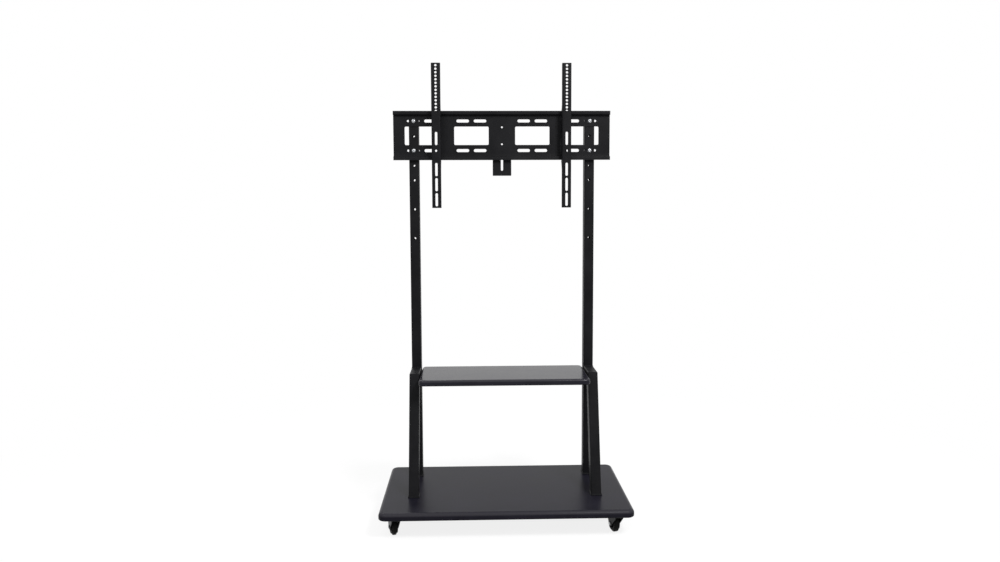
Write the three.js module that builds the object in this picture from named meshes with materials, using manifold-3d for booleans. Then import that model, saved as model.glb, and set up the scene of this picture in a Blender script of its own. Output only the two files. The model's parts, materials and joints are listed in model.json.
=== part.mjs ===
// Rolling screen stand: a base board on four braked casters, two tube uprights with
// leaning front legs, a shelf, and a folded mount plate that carries two hanging arms.
// Units are millimetres. +Z is up, the front faces -Y, and left and right are as seen
// from the front. The origin is on the floor under the middle of the base board.
import * as THREE from 'three';
import { mergeVertices } from 'three/addons/utils/BufferGeometryUtils.js';
import Module from 'manifold-3d';

const wasm = await Module();
wasm.setup();

// Sizes that many pieces share
const TOUCH_GAP = 0.3;
const CUT_OVERRUN = 5;
const SHEET_BEND_RADIUS = 1.5;

// Base board
const BASE_WIDTH = 730;
const BASE_DEPTH = 435;
const BASE_THICKNESS = 22;
const BASE_CORNER_RADIUS = 22;
const BASE_TOP_ROUND = 8;
const BASE_UNDER_ROUND = 3;

// Steel tube of the uprights, the legs and the shelf arms
const TUBE_WIDTH = 30;
const TUBE_DEPTH = 40;
const TUBE_WALL = 1.5;
const TUBE_CORNER_RADIUS = 3;

// Uprights, with heights measured from the top of the base board
const UPRIGHT_SPACING = 545;
const UPRIGHT_FRONT_Y = 109;
const UPRIGHT_TOP_MARGIN = 20;
const HOLE_PITCH = 45.2;
const UPRIGHT_HOLE_RADIUS = 3.8;
const UPRIGHT_HOLE_STEPS = [1, 0, -1, -2, -3, -5, -7];

// End caps of the uprights
const CAP_THICKNESS = 2.5;
const CAP_PLUG_LENGTH = 12;

// Foot plates under the tubes
const FOOT_MARGIN = 2;
const FOOT_THICKNESS = 3;
const FOOT_HOLE_RADIUS = 3.3;

// Front legs
const LEG_FOOT_FRONT_Y = -89;
const LEG_TOP_FRONT_Y = 5;
const SHELF_ARM_RISE = 5;

// Shelf and the angles under it
const SHELF_HEIGHT = 350;
const SHELF_THICKNESS = 18;
const SHELF_FRONT_Y = -74;
const SHELF_REAR_OVERHANG = 1;
const SHELF_SIDE_GAP = 2;
const SHELF_CORNER_RADIUS = 15;
const SHELF_TOP_ROUND = 5;
const SHELF_UNDER_ROUND = 3;
const ANGLE_LEG = 20;
const ANGLE_THICKNESS = 2;
const ANGLE_FRONT_Y = 18;
const ANGLE_SCREW_RADIUS = 2.2;
const ANGLE_SCREW_INSET = 14;

// Mount plate
const MOUNT_HEIGHT = 1079;
const PLATE_WIDTH = 670;
const PLATE_HEIGHT = 150;
const PLATE_DEPTH = 12;
const PLATE_THICKNESS = 2;
const LIP_HEIGHT = 12;
const WINDOW_WIDTH = 106.5;
const WINDOW_HEIGHT = 56.4;
const WINDOW_CORNER_RADIUS = 4;
const WINDOW_NEAR_X = 94.25;
const WINDOW_FAR_X = 246.75;
const PLATE_SLOT_LENGTH = 38.8;
const PLATE_SLOT_WIDTH = 9.4;
const PLATE_SLOT_OFFSET = 26.7;
const BOLT_SLOT_WIDTH = 6.6;
const CENTRE_HOLE_RADIUS = 2.75;
const CENTRE_HOLE_OFFSET = 26;

// Lock tab behind the middle of the mount plate
const TAB_WIDTH = 57.7;
const TAB_DROP = 48;
const TAB_LAP = 36;
const TAB_THICKNESS = 2;
const TAB_CORNER_RADIUS = 2;
const TAB_SLOT_WIDTH = 6.8;
const TAB_SLOT_LENGTH = 42;
const TAB_SLOT_EDGE = 15.7;

// Mount arms
const ARM_SPACING = 400;
const ARM_PAIR_SHIFT = -2;
const ARM_LENGTH = 438.4;
const ARM_DROP = 222;
const ARM_WIDTH = 28;
const ARM_THICKNESS = 2;
const ARM_STAND_OFF = 22;
const ARM_END_DEPTH = 14;
const ARM_SHOULDER = 26;
const ARM_SLOPE = 14;
const HOOK_THICKNESS = 4.5;
const HOOK_DROP = 8;
const ARM_HOLE_COUNT = 14;
const ARM_HOLE_PITCH = 10.5;
const ARM_HOLE_RADIUS = 3.5;
const ARM_HOLE_EDGE = 7.4;
const ARM_SLOT_LENGTH = 40;
const ARM_SLOT_WIDTH = 7.5;
const ARM_SLOT_PITCH = 46;
const ARM_SLOT_COUNT = 3;
const ARM_SLOT_EDGE = 25.3;
const ARM_MIDDLE_SLOT_DROP = 10.6;
const ARM_MIDDLE_HOLE_DROP = 47.9;

// Safety ledge and screw of each mount arm
const LEDGE_CLEARANCE = 1;
const LEDGE_THICKNESS = 2;
const LEDGE_LAP = 8;
const LEDGE_REAR_MARGIN = 2;
const SAFETY_SHANK_RADIUS = 2.5;
const SAFETY_HEAD_RADIUS = 4.75;
const SAFETY_HEAD_HEIGHT = 2.8;
const SAFETY_WASHER_RADIUS = 5.5;
const SAFETY_WASHER_THICKNESS = 0.8;
const SAFETY_SOCKET_RADIUS = 1.7;
const SAFETY_SOCKET_DEPTH = 1.6;
const SAFETY_REACH = 8;
const SAFETY_LIP_CLEARANCE = 1;

// Frame bolts and flange nuts
const BOLT_SHANK_RADIUS = 3;
const BOLT_HEAD_RADIUS = 5.3;
const BOLT_HEAD_HEIGHT = 3.3;
const BOLT_WASHER_RADIUS = 6.3;
const BOLT_WASHER_THICKNESS = 1.2;
const BOLT_SOCKET_RADIUS = 2.3;
const BOLT_SOCKET_DEPTH = 2;
const BOLT_EDGE_SHARE = 0.4;
const BOLT_CROWN_SHARE = 0.62;
const BOLT_TIP_LENGTH = 3;
const NUT_RADIUS = 5.8;
const NUT_HEIGHT = 6;
const NUT_FLANGE_RADIUS = 7.1;
const NUT_FLANGE_THICKNESS = 1.4;
const FOOT_BOLT_GRIP = 9;

// Casters
const CASTER_HEIGHT = 62;
const CASTER_INSET = 44.5;
const CASTER_TRAIL = 20;
const CASTER_PLATE_SIDE = 48;
const CASTER_PLATE_THICKNESS = 2.5;
const CASTER_PLATE_CORNER = 5;
const CASTER_SCREW_RADIUS = 2.5;
const CASTER_SCREW_OFFSET = 17.5;
const RACE_RADIUS = 15;
const RACE_HEIGHT = 4.7;
const RACE_COLLAR_RADIUS = 17.5;
const RACE_COLLAR_HEIGHT = 1.6;
const KINGPIN_RADIUS = 4;
const KINGPIN_HEAD_RADIUS = 6.5;
const KINGPIN_HEAD_HEIGHT = 2;
const CROWN_THICKNESS = 2.5;
const CROWN_RADIUS = 15.5;
const CROWN_FRONT_LENGTH = 12;
const CROWN_REAR_LENGTH = 26;
const CHEEK_THICKNESS = 2.5;
const CHEEK_CLEARANCE = 1.5;
const CHEEK_BOSS_RADIUS = 8;
const CHEEK_CORNER_RADIUS = 4;
const CHEEK_FRONT_LENGTH = 14;
const EAR_RADIUS = 5;

// Wheels and axles
const TYRE_RADIUS = 25;
const TYRE_WIDTH = 18;
const TYRE_BORE_RADIUS = 17;
const TYRE_SHOULDER_RADIUS = 5;
const HUB_BOSS_RADIUS = 7;
const HUB_RIM_THICKNESS = 3.5;
const HUB_RIM_WIDTH = 16;
const HUB_WEB_WIDTH = 6;
const AXLE_RADIUS = 3;
const AXLE_HEAD_RADIUS = 5;
const AXLE_HEAD_LENGTH = 2.5;

// Brake pedals
const PEDAL_PIVOT_REACH = 38;
const PEDAL_PIN_RADIUS = 1.5;
const PEDAL_PIN_STAND_OUT = 1;
const PEDAL_HUB_RADIUS = 3.4;
const PEDAL_CAM_RADIUS = 2.2;
const PEDAL_LENGTH = 18;
const PEDAL_WIDTH = 28;
const PEDAL_THICKNESS = 3;
const PEDAL_NECK_ROUND = 1;
const PEDAL_TIP_RISE = 3;
const PEDAL_REST_DEGREES = 12;
const PEDAL_TRAVEL_DEGREES = 30;
const PEDAL_CAM_LEAD_DEGREES = 2;
const BRAKE_GAP = 0.4;

// Where each caster stands and which way it trails, in degrees from straight back
const CASTERS = [
  { name: 'front_left', side: -1, end: -1, heading: 17 },
  { name: 'front_right', side: 1, end: -1, heading: 16 },
  { name: 'rear_left', side: -1, end: 1, heading: 180 },
  { name: 'rear_right', side: 1, end: 1, heading: 186 },
];

// Facet counts
const HOLE_SIDES = 8;
const PIN_SIDES = 6;
const DISC_SIDES = 12;
const CORNER_ARC_STEPS = 1;
const BELT_ARC_STEPS = 2;
const BEND_STEPS = 2;
const BOARD_ARC_STEPS = 2;
const BOARD_ROUND_STEPS = 3;
const BOLT_SIDES = 10;
const TYRE_SIDES = 24;
const TYRE_SHOULDER_STEPS = 1;
const CASTER_SIDES = 12;
const AXLE_SIDES = 8;
const SOCKET_SIDES = 6;

// Places worked out from the sizes above
const QUARTER_TURN = Math.PI / 2;
const BASE_TOP_Z = CASTER_HEIGHT + BASE_THICKNESS;
const TUBE_FOOT_Z = BASE_TOP_Z + FOOT_THICKNESS;
const UPRIGHT_X = UPRIGHT_SPACING / 2;
const UPRIGHT_REAR_Y = UPRIGHT_FRONT_Y + TUBE_DEPTH;
const UPRIGHT_MIDDLE_Y = UPRIGHT_FRONT_Y + TUBE_DEPTH / 2;
const TUBE_INNER_X = UPRIGHT_X - TUBE_WIDTH / 2;
const MOUNT_Z = BASE_TOP_Z + MOUNT_HEIGHT;
const UPRIGHT_TOP_Z = MOUNT_Z + HOLE_PITCH + UPRIGHT_TOP_MARGIN;
const SHELF_TOP_Z = BASE_TOP_Z + SHELF_HEIGHT;
const SHELF_UNDERSIDE_Z = SHELF_TOP_Z - SHELF_THICKNESS;
const SHELF_ARM_TOP_Z = SHELF_TOP_Z + SHELF_ARM_RISE;
const LEG_HEIGHT = SHELF_HEIGHT + SHELF_ARM_RISE;
const LEG_LEAN = Math.atan2(LEG_TOP_FRONT_Y - LEG_FOOT_FRONT_Y, LEG_HEIGHT);
const LEG_LEVEL_DEPTH = TUBE_DEPTH / Math.cos(LEG_LEAN);
const LEG_FOOT_SHIFT = FOOT_THICKNESS * Math.tan(LEG_LEAN);
const LEG_FOOT_MIDDLE_Y = LEG_FOOT_FRONT_Y + LEG_FOOT_SHIFT + LEG_LEVEL_DEPTH / 2;
const PLATE_TOP_Z = MOUNT_Z + PLATE_HEIGHT / 2;
const PLATE_BOTTOM_Z = MOUNT_Z - PLATE_HEIGHT / 2;
const PLATE_WEB_FRONT_Y = UPRIGHT_FRONT_Y - PLATE_THICKNESS;
const LIP_FRONT_Y = UPRIGHT_FRONT_Y - PLATE_DEPTH;
const LIP_REAR_Y = LIP_FRONT_Y + PLATE_THICKNESS;
const ARM_FRONT_Y = LIP_FRONT_Y - ARM_STAND_OFF;
const ARM_BOTTOM_Z = MOUNT_Z - ARM_DROP;
const ARM_TOP_Z = ARM_BOTTOM_Z + ARM_LENGTH;
const SAFETY_SCREW_Y = LIP_REAR_Y + SAFETY_LIP_CLEARANCE + SAFETY_SHANK_RADIUS;
const LEDGE_TOP_Z = PLATE_BOTTOM_Z - LEDGE_CLEARANCE;
const LEDGE_BOTTOM_Z = LEDGE_TOP_Z - LEDGE_THICKNESS;
const LEDGE_REAR_Y = SAFETY_SCREW_Y + SAFETY_SHANK_RADIUS + LEDGE_REAR_MARGIN;
const AXLE_HEIGHT = TYRE_RADIUS * Math.cos(Math.PI / TYRE_SIDES);
const CASTER_PLATE_UNDERSIDE = CASTER_HEIGHT - CASTER_PLATE_THICKNESS;
const RACE_UNDERSIDE = CASTER_PLATE_UNDERSIDE - RACE_HEIGHT;
const CROWN_TOP = RACE_UNDERSIDE - TOUCH_GAP;
const CROWN_UNDERSIDE = CROWN_TOP - CROWN_THICKNESS;
const CHEEK_INNER = TYRE_WIDTH / 2 + CHEEK_CLEARANCE;
const CHEEK_OUTER = CHEEK_INNER + CHEEK_THICKNESS;
const PEDAL_PIVOT_HEIGHT = CROWN_TOP - EAR_RADIUS;

// Materials
const blackBoard = material('#3f3e42', 0.55, 0);
const blackCoat = material('#1d1d1f', 0.5, 0.3);
const zincSteel = material('#b9bbbe', 0.35, 0.9);
const casterSteel = material('#191919', 0.45, 0.4);
const blackPlastic = material('#141415', 0.6, 0);
const blackRubber = material('#101010', 0.8, 0);

function material(color, roughness, metalness) {
  return new THREE.MeshStandardMaterial({ color, roughness, metalness, flatShading: true });
}

// Turn a closed three.js geometry into a solid that can be cut and joined
function solid(geometry) {
  const bare = geometry.clone();
  bare.deleteAttribute('normal');
  bare.deleteAttribute('uv');
  const merged = mergeVertices(bare);
  const corners = merged.index.array;
  const triangles = [];
  for (let i = 0; i < corners.length; i += 3) {
    const [a, b, c] = [corners[i], corners[i + 1], corners[i + 2]];
    if (a !== b && b !== c && c !== a) triangles.push(a, b, c);
  }
  return new wasm.Manifold(new wasm.Mesh({
    numProp: 3,
    vertProperties: new Float32Array(merged.attributes.position.array),
    triVerts: new Uint32Array(triangles),
  }));
}

// Turn a solid back into a three.js geometry
function geometryOf(body) {
  const mesh = body.getMesh();
  const geometry = new THREE.BufferGeometry();
  geometry.setAttribute('position', new THREE.BufferAttribute(mesh.vertProperties, 3));
  geometry.setIndex(new THREE.BufferAttribute(mesh.triVerts, 1));
  return geometry;
}

function subtractAll(body, cutters) {
  return cutters.reduce((rest, cutter) => rest.subtract(cutter), body);
}

function joinAll(bodies) {
  return bodies.reduce((whole, body) => whole.add(body));
}

function mesh(name, body, surface) {
  const piece = new THREE.Mesh(geometryOf(body), surface);
  piece.name = name;
  return piece;
}

// Extrude a flat shape along one axis, between two places on that axis
function extruded(shape, length, arcSteps) {
  return new THREE.ExtrudeGeometry(shape, {
    depth: length,
    bevelEnabled: false,
    curveSegments: arcSteps,
  });
}

// The shape is drawn in X and Y
function alongZ(shape, from, to, arcSteps = CORNER_ARC_STEPS) {
  return solid(extruded(shape, to - from, arcSteps).translate(0, 0, from));
}

// The shape is drawn in Y and Z
function alongX(shape, from, to, arcSteps = CORNER_ARC_STEPS) {
  const turn = new THREE.Matrix4().makeBasis(
    new THREE.Vector3(0, 1, 0),
    new THREE.Vector3(0, 0, 1),
    new THREE.Vector3(1, 0, 0),
  );
  return solid(extruded(shape, to - from, arcSteps).applyMatrix4(turn).translate(from, 0, 0));
}

// The shape is drawn in X and Z
function alongY(shape, from, to, arcSteps = CORNER_ARC_STEPS) {
  const turn = new THREE.Matrix4().makeBasis(
    new THREE.Vector3(1, 0, 0),
    new THREE.Vector3(0, 0, 1),
    new THREE.Vector3(0, -1, 0),
  );
  return solid(extruded(shape, to - from, arcSteps).applyMatrix4(turn).translate(0, to, 0));
}

// Revolve a profile of radius and height about the Z axis
function turnedAboutZ(profile, sides) {
  const points = profile.map(([radius, height]) => new THREE.Vector2(radius, height));
  return solid(new THREE.LatheGeometry(points, sides).rotateX(QUARTER_TURN));
}

// Revolve a profile of radius and place about the X axis
function turnedAboutX(profile, sides) {
  const points = profile.map(([radius, place]) => new THREE.Vector2(radius, place));
  return solid(new THREE.LatheGeometry(points, sides).rotateZ(-QUARTER_TURN));
}

function roundedRectangle(width, height, radius, middleX = 0, middleY = 0) {
  const right = middleX + width / 2 - radius;
  const left = middleX - width / 2 + radius;
  const top = middleY + height / 2 - radius;
  const bottom = middleY - height / 2 + radius;
  const shape = new THREE.Shape();
  shape.absarc(right, bottom, radius, -QUARTER_TURN, 0);
  shape.absarc(right, top, radius, 0, QUARTER_TURN);
  shape.absarc(left, top, radius, QUARTER_TURN, 2 * QUARTER_TURN);
  shape.absarc(left, bottom, radius, 2 * QUARTER_TURN, 3 * QUARTER_TURN);
  shape.closePath();
  return shape;
}

// Regular polygon with its corners on a circle
function polygon(sides, radius, middleX = 0, middleY = 0) {
  const corners = [];
  for (let i = 0; i < sides; i += 1) {
    const angle = (2 * Math.PI * i) / sides;
    const spoke = new THREE.Vector2(Math.cos(angle), Math.sin(angle)).multiplyScalar(radius);
    corners.push(spoke.add(new THREE.Vector2(middleX, middleY)));
  }
  return new THREE.Shape(corners);
}

// Polygon drawn round a circle, so that the flats of a hole clear what goes through it
function hole(radius, middleX = 0, middleY = 0) {
  return polygon(HOLE_SIDES, radius / Math.cos(Math.PI / HOLE_SIDES), middleX, middleY);
}

// Outline stretched like a belt round circles that are listed anticlockwise
function belt(circles) {
  const shape = new THREE.Shape();
  const leaving = circles.map((circle, i) => {
    const next = circles[(i + 1) % circles.length];
    const apart = new THREE.Vector2(next.x - circle.x, next.y - circle.y);
    return apart.angle() - Math.acos((circle.radius - next.radius) / apart.length());
  });
  circles.forEach((circle, i) => {
    const arriving = leaving[(i + circles.length - 1) % circles.length];
    let end = leaving[i];
    while (end < arriving) end += 4 * QUARTER_TURN;
    while (end - arriving > 4 * QUARTER_TURN) end -= 4 * QUARTER_TURN;
    shape.absarc(circle.x, circle.y, circle.radius, arriving, end);
  });
  shape.closePath();
  return shape;
}

// Section of a sheet bent along a line of corner points that runs mid-way in its thickness
function bentSheet(places, thickness) {
  const corners = places.map(([x, y]) => new THREE.Vector2(x, y));
  const radius = SHEET_BEND_RADIUS + thickness / 2;
  const origin = new THREE.Vector2();
  const stations = [];
  const last = corners.length - 1;
  corners.forEach((corner, i) => {
    if (i === 0 || i === last) {
      const [from, to] = i === 0 ? [corners[0], corners[1]] : [corners[last - 1], corners[last]];
      stations.push({ point: corner, along: to.clone().sub(from).normalize() });
      return;
    }
    const before = corner.clone().sub(corners[i - 1]).normalize();
    const after = corners[i + 1].clone().sub(corner).normalize();
    const turn = Math.atan2(before.cross(after), before.dot(after));
    const side = Math.sign(turn);
    const setBack = radius * Math.tan(Math.abs(turn) / 2);
    const normal = new THREE.Vector2(-before.y, before.x);
    const middle = corner.clone().addScaledVector(before, -setBack);
    middle.addScaledVector(normal, side * radius);
    for (let step = 0; step <= BEND_STEPS; step += 1) {
      const angle = (turn * step) / BEND_STEPS;
      const spoke = normal.clone().rotateAround(origin, angle);
      const point = middle.clone().addScaledVector(spoke, -side * radius);
      stations.push({ point, along: before.clone().rotateAround(origin, angle) });
    }
  });
  const edge = (station, offset) => {
    const across = new THREE.Vector2(-station.along.y, station.along.x);
    return station.point.clone().addScaledVector(across, offset);
  };
  const left = stations.map((station) => edge(station, thickness / 2));
  const right = stations.map((station) => edge(station, -thickness / 2)).reverse();
  return new THREE.Shape([...left, ...right]);
}

// Board with round corners and rolled edges, built ring by ring from its underside up
function rolledBoard({ width, depth, cornerRadius, bottom, top, underRound, topRound }) {
  const rings = [];
  for (let step = 0; step <= BOARD_ROUND_STEPS; step += 1) {
    const angle = (QUARTER_TURN * step) / BOARD_ROUND_STEPS;
    rings.push({
      inset: underRound * (1 - Math.sin(angle)),
      z: bottom + underRound * (1 - Math.cos(angle)),
    });
  }
  for (let step = 0; step <= BOARD_ROUND_STEPS; step += 1) {
    const angle = (QUARTER_TURN * step) / BOARD_ROUND_STEPS;
    rings.push({
      inset: topRound * (1 - Math.cos(angle)),
      z: top - topRound * (1 - Math.sin(angle)),
    });
  }
  const positions = [];
  rings.forEach(({ inset, z }) => {
    const radius = cornerRadius - inset;
    const outline = roundedRectangle(width - 2 * inset, depth - 2 * inset, radius);
    const points = outline.getPoints(BOARD_ARC_STEPS).slice(0, -1);
    points.forEach((point) => positions.push(point.x, point.y, z));
  });
  const count = positions.length / 3 / rings.length;
  positions.push(0, 0, bottom, 0, 0, top);
  const bottomMiddle = count * rings.length;
  const topMiddle = bottomMiddle + 1;
  const lastRing = count * (rings.length - 1);
  const indices = [];
  for (let i = 0; i < count; i += 1) {
    const next = (i + 1) % count;
    for (let ring = 0; ring < rings.length - 1; ring += 1) {
      const low = ring * count;
      const high = low + count;
      indices.push(low + i, low + next, high + next);
      indices.push(low + i, high + next, high + i);
    }
    indices.push(bottomMiddle, next, i);
    indices.push(topMiddle, lastRing + i, lastRing + next);
  }
  const geometry = new THREE.BufferGeometry();
  geometry.setAttribute('position', new THREE.Float32BufferAttribute(positions, 3));
  geometry.setIndex(indices);
  return solid(geometry);
}

// Tube section centred on the origin
function tubeSection() {
  const section = roundedRectangle(TUBE_WIDTH, TUBE_DEPTH, TUBE_CORNER_RADIUS);
  section.holes.push(roundedRectangle(
    TUBE_WIDTH - 2 * TUBE_WALL,
    TUBE_DEPTH - 2 * TUBE_WALL,
    TUBE_CORNER_RADIUS - TUBE_WALL,
  ));
  return section;
}

// Bolt with a domed socket head and its washer, standing head up on the plane Z = 0
function domedBolt(size) {
  const headBase = size.washerThickness;
  const headTop = headBase + size.headHeight;
  const rimTop = headBase + size.headHeight * BOLT_EDGE_SHARE;
  const crownRadius = size.head * BOLT_CROWN_SHARE;
  const body = turnedAboutZ([
    [0, -size.length],
    [size.shank, -size.length],
    [size.shank, 0],
    [size.washer, 0],
    [size.washer, headBase],
    [size.head, headBase],
    [size.head, rimTop],
    [crownRadius, headTop],
    [0, headTop],
  ], BOLT_SIDES);
  const socket = polygon(SOCKET_SIDES, size.socket);
  return body.subtract(alongZ(socket, headTop - size.socketDepth, headTop + CUT_OVERRUN));
}

function frameBolt(length) {
  return domedBolt({
    length,
    shank: BOLT_SHANK_RADIUS,
    head: BOLT_HEAD_RADIUS,
    headHeight: BOLT_HEAD_HEIGHT,
    washer: BOLT_WASHER_RADIUS,
    washerThickness: BOLT_WASHER_THICKNESS,
    socket: BOLT_SOCKET_RADIUS,
    socketDepth: BOLT_SOCKET_DEPTH,
  });
}

// Base board, drilled for the four foot bolts
function baseBoard() {
  const board = rolledBoard({
    width: BASE_WIDTH,
    depth: BASE_DEPTH,
    cornerRadius: BASE_CORNER_RADIUS,
    bottom: CASTER_HEIGHT,
    top: BASE_TOP_Z,
    underRound: BASE_UNDER_ROUND,
    topRound: BASE_TOP_ROUND,
  });
  const drills = [];
  for (const side of [-1, 1]) {
    for (const y of [UPRIGHT_MIDDLE_Y, LEG_FOOT_MIDDLE_Y]) {
      const from = CASTER_HEIGHT - CUT_OVERRUN;
      const to = BASE_TOP_Z + CUT_OVERRUN;
      drills.push(alongZ(hole(FOOT_HOLE_RADIUS, side * UPRIGHT_X, y), from, to));
    }
  }
  return mesh('base_board', subtractAll(board, drills), blackBoard);
}

// Upright tube with its column of through holes
function upright(name, side) {
  const x = side * UPRIGHT_X;
  const tube = alongZ(tubeSection(), TUBE_FOOT_Z, UPRIGHT_TOP_Z).translate([x, UPRIGHT_MIDDLE_Y, 0]);
  const drills = UPRIGHT_HOLE_STEPS.map((step) => {
    const through = hole(UPRIGHT_HOLE_RADIUS, x, MOUNT_Z + step * HOLE_PITCH);
    return alongY(through, UPRIGHT_FRONT_Y - CUT_OVERRUN, UPRIGHT_REAR_Y + CUT_OVERRUN);
  });
  return mesh(`${name}_upright`, subtractAll(tube, drills), blackCoat);
}

// End cap: a lid as wide as the tube and a plug inside it
function uprightCap(name, side) {
  const lid = roundedRectangle(TUBE_WIDTH, TUBE_DEPTH, TUBE_CORNER_RADIUS);
  const plug = roundedRectangle(
    TUBE_WIDTH - 2 * (TUBE_WALL + TOUCH_GAP),
    TUBE_DEPTH - 2 * (TUBE_WALL + TOUCH_GAP),
    TUBE_CORNER_RADIUS - TUBE_WALL,
  );
  const cap = alongZ(lid, UPRIGHT_TOP_Z, UPRIGHT_TOP_Z + CAP_THICKNESS)
    .add(alongZ(plug, UPRIGHT_TOP_Z - CAP_PLUG_LENGTH, UPRIGHT_TOP_Z + CAP_THICKNESS / 2))
    .translate([side * UPRIGHT_X, UPRIGHT_MIDDLE_Y, 0]);
  return mesh(`${name}_upright_cap`, cap, blackPlastic);
}

// Foot plate with the hole that its bolt threads into
function footPlate(name, side, y, tubeDepth) {
  const x = side * UPRIGHT_X;
  const outline = roundedRectangle(
    TUBE_WIDTH + 2 * FOOT_MARGIN,
    tubeDepth + 2 * FOOT_MARGIN,
    TUBE_CORNER_RADIUS,
    x,
    y,
  );
  const drill = alongZ(
    hole(FOOT_HOLE_RADIUS, x, y),
    BASE_TOP_Z - CUT_OVERRUN,
    TUBE_FOOT_Z + CUT_OVERRUN,
  );
  return mesh(name, alongZ(outline, BASE_TOP_Z, TUBE_FOOT_Z).subtract(drill), blackCoat);
}

// Foot bolt, driven up through the board into the foot plate
function footBolt(name, side, y) {
  const bolt = frameBolt(BASE_THICKNESS + FOOT_BOLT_GRIP)
    .rotate([180, 0, 0])
    .translate([side * UPRIGHT_X, y, CASTER_HEIGHT]);
  return mesh(name, bolt, zincSteel);
}

// Corners of the mitre between a leg and its shelf arm, as Y and Z
function mitreCorners() {
  const outer = new THREE.Vector2(LEG_TOP_FRONT_Y, SHELF_ARM_TOP_Z);
  const fall = TUBE_DEPTH * Math.tan(LEG_LEAN);
  const inner = new THREE.Vector2(
    LEG_TOP_FRONT_Y + LEG_LEVEL_DEPTH - fall,
    SHELF_ARM_TOP_Z - TUBE_DEPTH,
  );
  return { outer, inner };
}

// The same mitre, run on past both corners and moved off by a distance
function mitreLine(shift) {
  const { outer, inner } = mitreCorners();
  const along = inner.clone().sub(outer).normalize();
  const across = new THREE.Vector2(-along.y, along.x);
  return {
    high: outer.clone().addScaledVector(along, -CUT_OVERRUN).addScaledVector(across, shift),
    low: inner.clone().addScaledVector(along, CUT_OVERRUN).addScaledVector(across, shift),
  };
}

// Leaning front leg, cut level at the foot and mitred at the top
function frontLeg(name, side) {
  const x = side * UPRIGHT_X;
  const length = LEG_HEIGHT / Math.cos(LEG_LEAN) + TUBE_DEPTH;
  const tube = alongZ(tubeSection(), -TUBE_DEPTH, length)
    .rotate([-THREE.MathUtils.radToDeg(LEG_LEAN), 0, 0])
    .translate([x, LEG_FOOT_FRONT_Y + LEG_LEVEL_DEPTH / 2, BASE_TOP_Z]);
  const { high, low } = mitreLine(-TOUCH_GAP);
  const keep = new THREE.Shape([
    high,
    new THREE.Vector2(LEG_FOOT_FRONT_Y - CUT_OVERRUN, high.y),
    new THREE.Vector2(LEG_FOOT_FRONT_Y - CUT_OVERRUN, TUBE_FOOT_Z),
    new THREE.Vector2(low.x, TUBE_FOOT_Z),
    low,
  ]);
  const reach = TUBE_WIDTH / 2 + CUT_OVERRUN;
  return mesh(`${name}_front_leg`, tube.intersect(alongX(keep, x - reach, x + reach)), blackCoat);
}

// Level shelf arm from the upright's front to the top of the leg
function shelfArm(name, side) {
  const x = side * UPRIGHT_X;
  const tube = alongZ(tubeSection(), LEG_TOP_FRONT_Y - TUBE_DEPTH, UPRIGHT_FRONT_Y)
    .rotate([-90, 0, 0])
    .translate([x, 0, SHELF_ARM_TOP_Z - TUBE_DEPTH / 2]);
  const { high, low } = mitreLine(0);
  const keep = new THREE.Shape([
    high,
    low,
    new THREE.Vector2(UPRIGHT_FRONT_Y + CUT_OVERRUN, low.y),
    new THREE.Vector2(UPRIGHT_FRONT_Y + CUT_OVERRUN, high.y),
  ]);
  const reach = TUBE_WIDTH / 2 + CUT_OVERRUN;
  return mesh(`${name}_shelf_arm`, tube.intersect(alongX(keep, x - reach, x + reach)), blackCoat);
}

// Shelf board between the tubes, a little below the top of the arms
function shelfBoard() {
  const depth = UPRIGHT_REAR_Y + SHELF_REAR_OVERHANG - SHELF_FRONT_Y;
  const board = rolledBoard({
    width: 2 * (TUBE_INNER_X - SHELF_SIDE_GAP),
    depth,
    cornerRadius: SHELF_CORNER_RADIUS,
    bottom: SHELF_UNDERSIDE_Z,
    top: SHELF_TOP_Z,
    underRound: SHELF_UNDER_ROUND,
    topRound: SHELF_TOP_ROUND,
  });
  return mesh('shelf_board', board.translate([0, SHELF_FRONT_Y + depth / 2, 0]), blackBoard);
}

// Angle under one end of the shelf, screwed to the tubes' inner faces and to the shelf
function shelfAngle(name, side) {
  const wallX = side * (TUBE_INNER_X - ANGLE_THICKNESS / 2);
  const ledgeZ = SHELF_UNDERSIDE_Z - ANGLE_THICKNESS / 2;
  const section = bentSheet([
    [wallX, SHELF_UNDERSIDE_Z - ANGLE_LEG],
    [wallX, ledgeZ],
    [side * (TUBE_INNER_X - ANGLE_LEG), ledgeZ],
  ], ANGLE_THICKNESS);
  const angle = alongY(section, ANGLE_FRONT_Y, UPRIGHT_REAR_Y);
  const holeX = side * (TUBE_INNER_X - ANGLE_LEG / 2);
  const holeZ = SHELF_UNDERSIDE_Z - ANGLE_LEG / 2;
  const drills = [];
  for (const y of [ANGLE_FRONT_Y + ANGLE_SCREW_INSET, UPRIGHT_REAR_Y - ANGLE_SCREW_INSET]) {
    const across = hole(ANGLE_SCREW_RADIUS, y, holeZ);
    drills.push(alongX(across, wallX - CUT_OVERRUN, wallX + CUT_OVERRUN));
    const upward = hole(ANGLE_SCREW_RADIUS, holeX, y);
    drills.push(alongZ(upward, ledgeZ - CUT_OVERRUN, ledgeZ + CUT_OVERRUN));
  }
  return mesh(`${name}_shelf_angle`, subtractAll(angle, drills), blackCoat);
}

// Slot with round ends
function slotShape(width, height, middleX, middleY) {
  return roundedRectangle(width, height, Math.min(width, height) / 2, middleX, middleY);
}

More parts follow.
